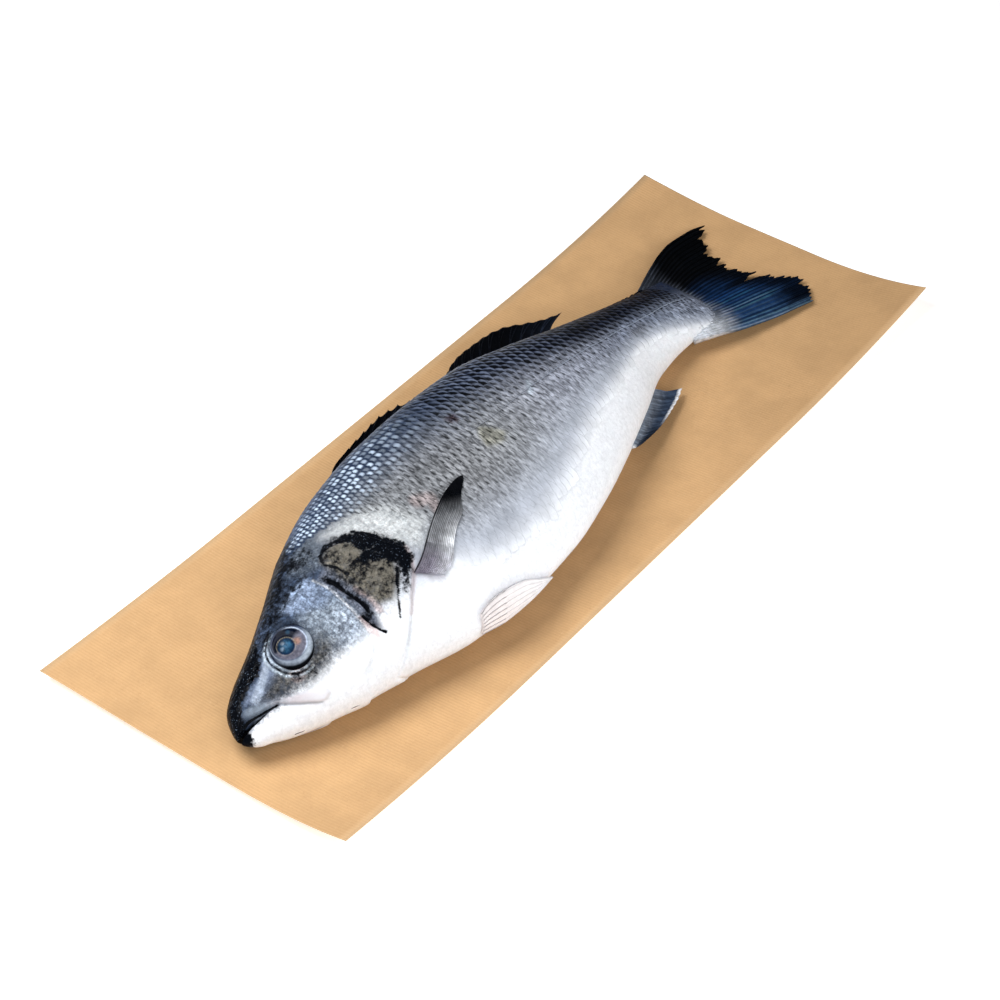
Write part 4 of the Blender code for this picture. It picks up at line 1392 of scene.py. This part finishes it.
spiny = fin_patch(
    first=[(-72, 33, 29), (-69, 38.5, 29), (-62, 42.2, 29), (-52, 44.2, 29.5)],
    last=[(-20, 33, 28), (-14, 39, 28), (-8, 42.0, 28)],
    root=[(-72, 33, 29), (-40, 34, 30), (-20, 33, 28)],
    rim=[(-52, 44.2, 29.5), (-41, 45.6, 30), (-29, 46.8, 30), (-20, 46.3, 29), (-8, 42.0, 28)],
    rays=SPINES, depth=0.08, per_ray=2 * COLUMNS_PER_RAY,
)
add_fin("spiny_dorsal_fin", spiny, SPINES, black_fin,
        half=(0.9, 0.3), ray_half=0.6, ray_gain=1.6, hollow=0.4, fork=0)

soft = fin_patch(
    first=[(-6, 33, 26), (-2, 36.4, 28), (4, 40.2, 28), (11, 43.6, 27.4)],
    last=[(60, 27, 18.6), (67, 32.5, 18.6), (76, 36.2, 17.6), (83.1, 37.8, 17)],
    root=[(-6, 33, 26), (16, 32.5, 25), (26, 31.5, 24), (41, 29.5, 21.5), (51, 28, 20), (60, 27, 18.6)],
    rim=[(11, 43.6, 27.4), (18, 46.4, 26.8), (27, 48.2, 25.8), (43, 48.8, 24), (53.4, 47.2, 23),
         (63.3, 43.2, 21), (72.9, 39.6, 19), (83.1, 37.8, 17)],
    rays=SOFT_RAYS, depth=0.02,
)
add_fin("soft_dorsal_fin", soft, SOFT_RAYS, black_fin,
        half=(0.9, 0.3), ray_half=0.4, ray_gain=2.4, hollow=0.35)


# %% [markdown]
# The fin under the body is grey-blue with a white front spine.

# %% Anal fin
ANAL_BLUE = srgb(58, 72, 94)
ANAL_PALE = srgb(126, 136, 150)
ANAL_RAYS = 14


def anal_colour(a, t):
    colour = painted(ANAL_PALE, [
        (smooth_step(t, 0.15, 0.8), ANAL_BLUE),
        (0.7 * (1 - smooth_step(a, 0.2, 0.5)) * smooth_step(t, 0.3, 0.9), FIN_BLACK),
    ])
    colour = streaked(colour, a, smooth_step(t, 0.1, 0.5), strength=0.5, waves=47, sway=2, turns=17)
    rim = smooth_step(t, 0.9, 0.96) * smooth_step(a, 0.35, 0.7)
    spine = 0.8 * (1 - smooth_step(a, 0, 0.06)) * (1 - smooth_step(t, 0.3, 0.6))
    return painted(colour, [(0.9 * (rim + spine), WHITE)])


anal = fin_patch(
    first=[(31, -31.5, 15), (32, -36.4, 14), (40, -36.0, 11.5)],
    last=[(66, -17, 12), (73.5, -19.2, 8.5), (78.6, -21.4, 5.4), (85.3, -24.2, 4)],
    root=[(31, -31.5, 15), (40, -28.5, 14.2), (54, -22.5, 13), (66, -17, 12)],
    rim=[(40, -36.0, 11.5), (57.1, -32.8, 7), (70.3, -29.3, 5), (79, -26.8, 4.4), (85.3, -24.2, 4)],
    rays=ANAL_RAYS, depth=0.02,
)
add_fin("anal_fin", anal, ANAL_RAYS, anal_colour,
        half=(0.8, 0.35), ray_half=0.28, ray_gain=1.15, hollow=0.12)


# %% [markdown]
# The tail has two lobes.  Its rays fan out from the end of the backbone, black in the upper lobe and at the
# rim, and deep blue in the lower lobe, and its rim is torn as it is on a fish that has been handled.

# %% Tail fin
TAIL_BLACK = srgb(2, 3, 5)
TAIL_BLUE = srgb(18, 44, 80)
TAIL_PALE = srgb(92, 128, 168)
TAIL_BASE_GREY = srgb(92, 99, 113)
TAIL_RAYS = 32
TAIL_TEARS = [
    (0, 1), (0.03, 1), (0.06, 0.99), (0.09, 0.975), (0.11, 0.985), (0.15, 0.94), (0.18, 0.96), (0.22, 0.91),
    (0.27, 0.92), (0.3, 0.96), (0.34, 0.93), (0.39, 0.97), (0.44, 0.95), (0.5, 1.0), (0.52, 0.99),
    (0.56, 0.82), (0.6, 0.98), (0.68, 0.97), (0.75, 0.98), (0.79, 1.0), (0.82, 0.95), (0.9, 0.97), (1, 1),
]


def tail_colour(a, t):
    lower = smooth_step(a, 0.3, 0.75)
    rim = smooth_step(t, 0.5 + 0.16 * a, 0.9)
    base = (1 - smooth_step(t, 0.18, 0.5 - 0.08 * a)) * (0.25 + 0.75 * smooth_step(a, 0.1, 0.5))
    stripes = np.sin(a * 83) ** 4 * smooth_step(a, 0.66, 0.85)
    colour = painted(TAIL_BLACK, [
        (lower * (1 - 0.9 * rim), TAIL_BLUE),
        (0.75 * smooth_step(a, 0.93, 0.99) * (1 - 0.5 * t), TAIL_PALE),
        (base, TAIL_BASE_GREY),
        (0.62 * base * smooth_step(a, 0.72, 0.95), WHITE),
        (0.35 * stripes * smooth_step(t, 0.2, 0.4) * (1 - smooth_step(t, 0.6, 0.9)), TAIL_PALE),
    ])
    return streaked(colour, a, smooth_step(t, 0.1, 0.4), strength=0.45, waves=61, sway=3, turns=23)


tail = fin_patch(
    first=[(115, 22.4, 9.6), (123, 24.6, 10.2), (134, 28.6, 9), (143.6, 31.8, 8), (154, 34.8, 7),
           (163.9, 36.5, 6), (178, 35.4, 5.4), (187.4, 32.0, 5.2)],
    last=[(110, -13.8, 8.6), (122.6, -19.6, 8), (131.2, -23.4, 7), (141, -26.9, 6), (150.9, -30.6, 5.5),
          (160, -33.4, 5.2), (169.4, -36.4, 5)],
    root=[(115, 22.4, 9.6), (119, 4, 9.2), (110, -13.8, 8.6)],
    rim=[(187.4, 32.0, 5.2), (183.5, 25.0, 5), (177.5, 17, 5), (172.5, 8, 5), (171, 0, 5), (175, -8.4, 5),
         (180, -17, 5), (184.5, -25.5, 5), (169.4, -36.4, 5)],
    rays=TAIL_RAYS, depth=0.02, rows=40, tears=TAIL_TEARS, broken=0.085,
)
add_fin("tail_fin", tail, TAIL_RAYS, tail_colour,
        half=(1.3, 0.3), ray_half=0.42, ray_gain=2.4, hollow=0.3)


# %% [markdown]
# Behind the gill opening the breast fin lies folded flat, a narrow leaf with a dark front ray and a black
# tip.  The belly fin below it is cream.  Both follow the flank, so they are drawn on the skin and raised.

# %% Folded fins
PECTORAL_FRONT = [
    (88, 113), (93.7, 110), (105.7, 102.5), (114.5, 98.5), (122.9, 96), (130.4, 95.4), (132.8, 96.4),
]
PECTORAL_REAR = [
    (96, 124), (100.5, 123), (109.2, 114.5), (114.4, 110.5), (120.4, 107.6), (125.4, 102), (132.8, 97),
]
PELVIC_FRONT = [(98, 163), (101.6, 160), (107.4, 158.5), (113.3, 160), (121, 164), (129, 174), (137, 184)]
PELVIC_REAR = [(97, 184), (102, 186), (109, 188), (116, 189), (123, 189), (130, 188), (137, 186)]
PECTORAL_GREY = srgb(112, 114, 118)
PELVIC_CREAM = srgb(236, 230, 230)
PECTORAL_RAYS = 16
PELVIC_RAYS = 7


def pectoral_colour(a, t):
    return painted(PURPLE_GREY, [
        (smooth_step(t, 0.05, 0.35), PECTORAL_GREY),
        (0.5 * smooth_step(a, 0.35, 0.95) * (1 - smooth_step(t, 0.3, 0.65)), WHITE),
        (smooth_step(t + 0.12 * (1 - a), 0.56, 0.84), FIN_BLACK),
        (0.4 * np.sin(a * 118) ** 2 * smooth_step(t, 0.3, 0.7), FIN_BLACK),
        (0.85 * (1 - smooth_step(a, 0.0, 0.05)), FIN_BLACK),
    ])


def pelvic_colour(a, t):
    return painted(PELVIC_CREAM, [
        (0.6 * smooth_step(t, 0.1, 0.9), WHITE),
        (0.2 * (1 - smooth_step(a, 0, 0.06)), STEEL),
    ])


def folded_patch(front, rear, rays, front_lift, rear_lift):
    """A leaf on the skin between two edges, from its root to its tip, raised along the skin's normals."""
    a = np.linspace(0, 1, (rays - 1) * COLUMNS_PER_RAY + 1)[None, :]
    t = np.linspace(0, 1, FIN_ROWS)[:, None]
    one, two = through(front, FIN_ROWS), through(rear, FIN_ROWS)
    station = (one[:, :1] * (1 - a) + two[:, :1] * a) * MM
    angle = np.radians(one[:, 1:] * (1 - a) + two[:, 1:] * a)
    lift = (front_lift * (1 - a) + rear_lift * a) * (0.35 + 0.65 * smooth_step(t, 0, 0.3)) * MM
    return lay_down(body_surface(station, angle) + body_normal(station, angle) * lift[..., None])


pectoral = folded_patch(PECTORAL_FRONT, PECTORAL_REAR, PECTORAL_RAYS, 1.9, 0.4)
add_fin("pectoral_fin", pectoral, PECTORAL_RAYS, pectoral_colour,
        half=(0.6, 0.2), ray_half=0.3, ray_gain=1.1, hollow=0.15, fork=0.16)
pelvic = folded_patch(PELVIC_FRONT, PELVIC_REAR, PELVIC_RAYS, 1.8, 1.5)
add_fin("pelvic_fin", pelvic, PELVIC_RAYS, pelvic_colour,
        half=(0.6, 0.3), ray_half=0.3, ray_gain=0.9, hollow=0.12, finish=(PALE_FIN, PALE_FIN))


# %% [markdown]
# ## Eyes
# A fish's eye has no lid.  Under a clear dome lie the iris, dark above and pinkish grey below, and the pupil,
# which is set towards the snout and on this fish has turned cloudy blue.  The ball is a dome of rings round
# its middle; its colour is painted by distance from the pupil, with painted highlights and a painted shadow
# at its rim, and a thin clear coat makes it wet.

# %% Eye colours
EYE_BALL_RADIUS = 10.2 * MM
EYE_HALF_DEPTH = 5.0 * MM
EYE_SUNK = {1: 4.1 * MM, -1: 4.9 * MM}
PUPIL_SHIFT = (-1.6, 1.0)
PUPIL_RADIUS = 3.3
IRIS_SHIFT = (0.2, 0.7)
IRIS_RADIUS = 6.5
CLOUDY_BLUE = srgb(48, 88, 118)
PUPIL_DARK = srgb(16, 34, 56)
PALE_GOLD = srgb(168, 160, 138)
IRIS_PINK = srgb(98, 98, 112)
IRIS_ORANGE = srgb(158, 116, 90)
IRIS_NIGHT = srgb(8, 14, 30)
BALL_GREY = srgb(66, 76, 97)
BALL_PALE = srgb(160, 171, 184)
ARC_WHITE = srgb(196, 210, 232)


def eye_reading(x, y):
    """Colour and cloudiness of the eye at x towards the tail and y towards the back, in mm."""
    from_pupil = x - PUPIL_SHIFT[0], y - PUPIL_SHIFT[1]
    away = np.hypot(*from_pupil)
    edge = np.hypot(x, y)
    ring = np.hypot(x - IRIS_SHIFT[0], y - IRIS_SHIFT[1])

    def towards(degrees, least, most, ways=(x, y)):
        return smooth_step(np.cos(np.arctan2(ways[1], ways[0]) - math.radians(degrees)), least, most)

    def dot(across, back, radius):
        return 1 - smooth_step(np.hypot(x - across, y - back), 0.3 * radius, radius)

    def in_pupil(across, back, radius):
        return dot(PUPIL_SHIFT[0] + across, PUPIL_SHIFT[1] + back, radius)

    outside = smooth_step(ring, IRIS_RADIUS, IRIS_RADIUS + 0.8)
    iris = 1 - smooth_step(ring, IRIS_RADIUS - 0.2, IRIS_RADIUS + 0.3)
    pupil = 1 - smooth_step(away, PUPIL_RADIUS - 0.1, PUPIL_RADIUS + 0.15)
    gold_ring = bump(away - PUPIL_RADIUS - 0.35, 0.14) * (0.4 + 0.6 * towards(30, -0.6, 0.5, from_pupil))
    colour = painted(np.tile(BALL_GREY, (*x.shape, 1)), [
        # The ring outside the iris is pale on its belly side: partly silvery tissue, partly a painted
        # highlight.
        (0.85 * outside * towards(-62, 0.3, 0.9), BALL_PALE),
        (0.5 * outside * towards(-132, 0.2, 0.9), BALL_PALE),
        (0.85 * outside * towards(95, 0.0, 0.7), IRIS_NIGHT),
        (iris, IRIS_PINK),
        (0.6 * iris * dot(2.2, -1.4, 2.2), IRIS_ORANGE),
        (0.5 * iris * dot(-3.2, 0.2, 1.2), IRIS_ORANGE),
        (iris * towards(75, -0.05, 0.35, from_pupil), IRIS_NIGHT),
        (0.4 * dot(3.6, 3.6, 1.2), CLOUDY_BLUE),
        # Two thin pale arcs round the iris are painted highlights.
        (0.9 * bump(ring - IRIS_RADIUS, 0.24) * towards(-22, 0.0, 0.7), ARC_WHITE),
        (0.4 * bump(ring - IRIS_RADIUS - 0.9, 0.2) * towards(110, 0.1, 0.8), ARC_WHITE),
        (0.5 * gold_ring, PALE_GOLD),
        (pupil, PUPIL_DARK),
        (0.8 * pupil * (1 - smooth_step(away, 1.4, 3.0)), CLOUDY_BLUE),
        # Two pale dots in the pupil are painted reflections.
        (0.5 * in_pupil(0.2, 1.7, 1.1), BALL_PALE),
        (0.3 * in_pupil(-1.7, 0.5, 1.2), BALL_PALE),
        (0.6 * in_pupil(0.3, -2.2, 1.5), PUPIL_DARK),
        # The dark rim of the ball is a painted shadow of the socket, deepest on the belly side.
        (smooth_step(edge, 7.8, 8.4) * (0.55 + 0.45 * towards(-100, -0.4, 0.6)), INK),
    ])
    return colour, 0.8 * pupil + 0.5 * iris


def make_eye_material():
    material, place = new_material("wet_eye")
    strength = reading(place, "cloud") * 0.25 + 0.25
    return finish_with(material, {
        "Base Color": cloudy(place, reading(place, "tint", "Color"), 700.0, strength),
        "Roughness": wet_film(place, 200.0, 0.3, 0.12)[0], "Specular IOR Level": 0.03,
        "Coat Weight": 0.02, "Coat Roughness": 0.03,
    })


# %% [markdown]
# The ball carries its own relief: the iris lies in a shallow dish, with the lens bulging through it.

# %% Eye mesh
EYE = make_eye_material()
EYE_RINGS = 90
EYE_SECTORS = 96
POLE_GAP = 0.004
# The iris lies in a dish, the lens stands in it, and low ridges run round the ball and the pupil; in mm.
DISH_DEPTH = 0.35
LENS_HEIGHT = 0.5
BALL_RIDGE = 0.25
PUPIL_RIDGE = 0.12


def eye_frame(side):
    """The middle of the eye, and its directions towards the tail, towards the back and out of the head."""
    station, angle = EYE_PLACE[0] * MM, side * math.radians(EYE_PLACE[1])
    out = body_normal(station, angle)
    tail = body_surface(station + MM, angle) - body_surface(station - MM, angle)
    tail -= out * (tail @ out)
    tail /= np.linalg.norm(tail)
    back = np.cross(out, tail) * side
    return body_surface(station, angle) - out * EYE_SUNK[side], tail, back, out


def add_eye(name, side):
    middle, tail, back, out = eye_frame(side)
    polar = np.linspace(POLE_GAP, math.pi - POLE_GAP, EYE_RINGS)[:, None]
    turn = np.linspace(0, 2 * math.pi, EYE_SECTORS, endpoint=False)[None, :]
    flat = np.sin(polar) * EYE_BALL_RADIUS
    x, y = flat * np.cos(turn), flat * np.sin(turn)
    z = np.cos(polar) * EYE_HALF_DEPTH * np.ones_like(turn)
    away = np.hypot(x / MM - PUPIL_SHIFT[0], y / MM - PUPIL_SHIFT[1])
    front = (polar < math.pi / 2) * np.ones_like(turn)
    dish = -DISH_DEPTH * (1 - smooth_step(away, 5.0, 6.4))
    dish = dish + LENS_HEIGHT * (1 - smooth_step(away, 0.5, 4.0))
    ridge = BALL_RIDGE * bump(np.hypot(x, y) / MM - 7.4, 0.6)
    ridge = ridge + PUPIL_RIDGE * bump(away - PUPIL_RADIUS - 0.4, 0.35)
    z = z + front * (dish + ridge) * MM
    points = middle + x[..., None] * tail + y[..., None] * back + z[..., None] * out
    colour, cloud = eye_reading(x / MM, y / MM)
    dark = (1 - front)[..., None]
    mesh = closed_skin(name, points, {"tint": colour * (1 - dark) + INK * dark, "cloud": cloud})
    add_piece(name, mesh, EYE, ["eye_left" if side == 1 else "eye_right"])


add_eye("upper_eye", 1)
add_eye("lower_eye", -1)


# %% [markdown]
# ## Ribbed paper
# The sheet is brown wrapping paper with fine ribs pressed across it.  It curls up at its rim, so its height
# is a rule over the sheet, as in the solid.  A geometry tree presses the ribs into it, here deeper and there
# shallower, because they repeat along the whole length.

# %% Paper shape
PAPER_LENGTH = 400 * MM
PAPER_WIDTH = 150 * MM
PAPER_THICKNESS = 0.3 * MM
CURL_STARTS_ALONG = 0.45
CURL_STARTS_ACROSS = 0.25
CORNER_LIFT = {"head_back": 4.3 * MM, "head_belly": 10.6 * MM, "tail_belly": 11.2 * MM, "tail_back": 7.7 * MM}
EDGE_LIFT = {"head": 4.0 * MM, "tail": 3.5 * MM, "back": 0.3 * MM, "belly": 4.0 * MM}
RIB_PITCH = 1.4 * MM
RIB_HEIGHT = 0.05 * MM
POINTS_PER_RIB = 4
PAPER_ROWS = 38


def paper_height(u, v):
    """Height of the sheet's underside at (u, v), each from -1 to 1."""
    along = np.clip((abs(u) - CURL_STARTS_ALONG) / (1 - CURL_STARTS_ALONG), 0, 1) ** 2
    across = np.clip((abs(v) - CURL_STARTS_ACROSS) / (1 - CURL_STARTS_ACROSS), 0, 1) ** 2
    tail, back = (1 + u) / 2, (1 + v) / 2
    head, belly = 1 - tail, 1 - back
    corner = head * back * CORNER_LIFT["head_back"] + head * belly * CORNER_LIFT["head_belly"]
    corner = corner + tail * back * CORNER_LIFT["tail_back"] + tail * belly * CORNER_LIFT["tail_belly"]
    end = np.where(u > 0, EDGE_LIFT["tail"], EDGE_LIFT["head"])
    edge = np.where(v > 0, EDGE_LIFT["back"], EDGE_LIFT["belly"])
    return corner * along * across + end * along * (1 - across) + edge * across * (1 - along)


def paper_mesh():
    """The sheet as a closed skin: rings of points round its short section, one after another along it."""
    columns = round(PAPER_LENGTH / RIB_PITCH) * POINTS_PER_RIB
    u = np.linspace(-1, 1, columns + 1)[:, None]
    v = np.linspace(-1, 1, PAPER_ROWS + 1)[None, :]
    height = paper_height(u, v)
    x = u * PAPER_LENGTH / 2 * np.ones_like(v)
    y = v * PAPER_WIDTH / 2 * np.ones_like(u)
    upper = np.stack([x, y, height + PAPER_THICKNESS], axis=-1)
    lower = np.stack([x, y, height], axis=-1)
    rings = np.concatenate([upper, lower[:, ::-1]], axis=1)
    edge = np.zeros(rings.shape[:2])
    edge[:, [0, PAPER_ROWS, PAPER_ROWS + 1, -1]] = 1
    edge[[0, -1]] = 1
    return closed_skin("paper", rings, {"cut": edge}, folded=True)


# %% Paper tree
def make_rib_tree():
    sizes = {"Finish": "Material", "Pitch": "Float", "Height": "Float"}
    tree, (sheet, finish, pitch, height), result = new_geometry_tree("pressed_ribs", sizes)
    place = put(tree, "GeometryNodeInputPosition")
    depth = height * place.noise(30.0, 1.0, 0.5).ease(0.25, 0.75, 0.6, 1.3)
    wave = (place.part(0).maths("DIVIDE", pitch) * (2 * math.pi)).maths("SINE")
    offset = put(tree, "ShaderNodeCombineXYZ", {2: wave * depth})
    pressed = put(tree, "GeometryNodeSetPosition", {"Geometry": sheet, "Offset": offset})
    return close_tree(tree, pressed, finish, result)


# %% [markdown]
# Brown paper is pressed from long wood fibres, so its colour is cloudy, with short darker and paler threads.
# The grooves between the ribs are a little darker as painted shade, and the cut edge shows the pale inside.

# %% Paper material
KRAFT = srgb(204, 164, 118)
KRAFT_DARK = srgb(176, 134, 90)
KRAFT_PALE = srgb(222, 190, 150)


def make_paper_material():
    material, place = new_material("ribbed_paper")
    colour = cloudy(place, KRAFT, 45.0, 0.08)
    threads = place.stretched(1.0, 0.22, 1.0).noise(2600.0, 3.0, 0.7)
    colour = colour.blend(threads.ease(0.56, 0.72, 0.0, 0.55), KRAFT_DARK)
    threads = place.stretched(0.25, 1.0, 1.0).noise(2100.0, 3.0, 0.7)
    colour = colour.blend(threads.ease(0.58, 0.74, 0.0, 0.5), KRAFT_PALE)
    # The grooves between the ribs are darkened: painted shade.
    wave = (place.part(0) * (2 * math.pi / RIB_PITCH)).maths("SINE")
    colour = colour.blend(wave.ease(-1.0, 1.0, 0.2, 0.0), KRAFT_DARK)
    colour = colour.blend(reading(place, "cut") * 0.5, KRAFT_PALE)
    return finish_with(material, {
        "Base Color": colour, "Roughness": threads.ease(0.3, 0.7, 0.72, 0.9),
        "Normal": place.noise(3000.0, 2.0).relief(0.2, 0.1 * MM), "Specular IOR Level": 0.25,
    })


PAPER = make_paper_material()
values = {"Finish": PAPER, "Pitch": RIB_PITCH, "Height": RIB_HEIGHT}
pressed = run_tree("paper", make_rib_tree(), paper_mesh(), values)
add_piece("paper", pressed, PAPER, ["paper_sheet"])

# %% [markdown]
# ## Floor
# A plain white floor, so wide that its edge is never seen from the camera.  It gives some light of its own,
# as the lit table of a photo studio does, which keeps it white while the paper on it is shaded.

# %% Floor
FLOOR_HALF = 6.0
FLOOR_BELOW = 0.2 * MM


def add_floor():
    corners = [(-1, -1), (1, -1), (1, 1), (-1, 1)]
    mesh = bpy.data.meshes.new("floor")
    mesh.from_pydata([(x * FLOOR_HALF, y * FLOOR_HALF, 0) for x, y in corners], [], [(0, 1, 2, 3)])
    material, place = new_material("floor_white")
    mesh.materials.append(finish_with(material, {
        "Base Color": cloudy(place, (0.9, 0.9, 0.9, 1), 3.0, 0.01), "Roughness": 0.9,
        "Specular IOR Level": 0.1, "Emission Color": (1, 1, 1, 1), "Emission Strength": 0.55,
    }))
    thing = bpy.data.objects.new("floor", mesh)
    bpy.context.scene.collection.objects.link(thing)
    thing.location.z = -FLOOR_BELOW


add_floor()
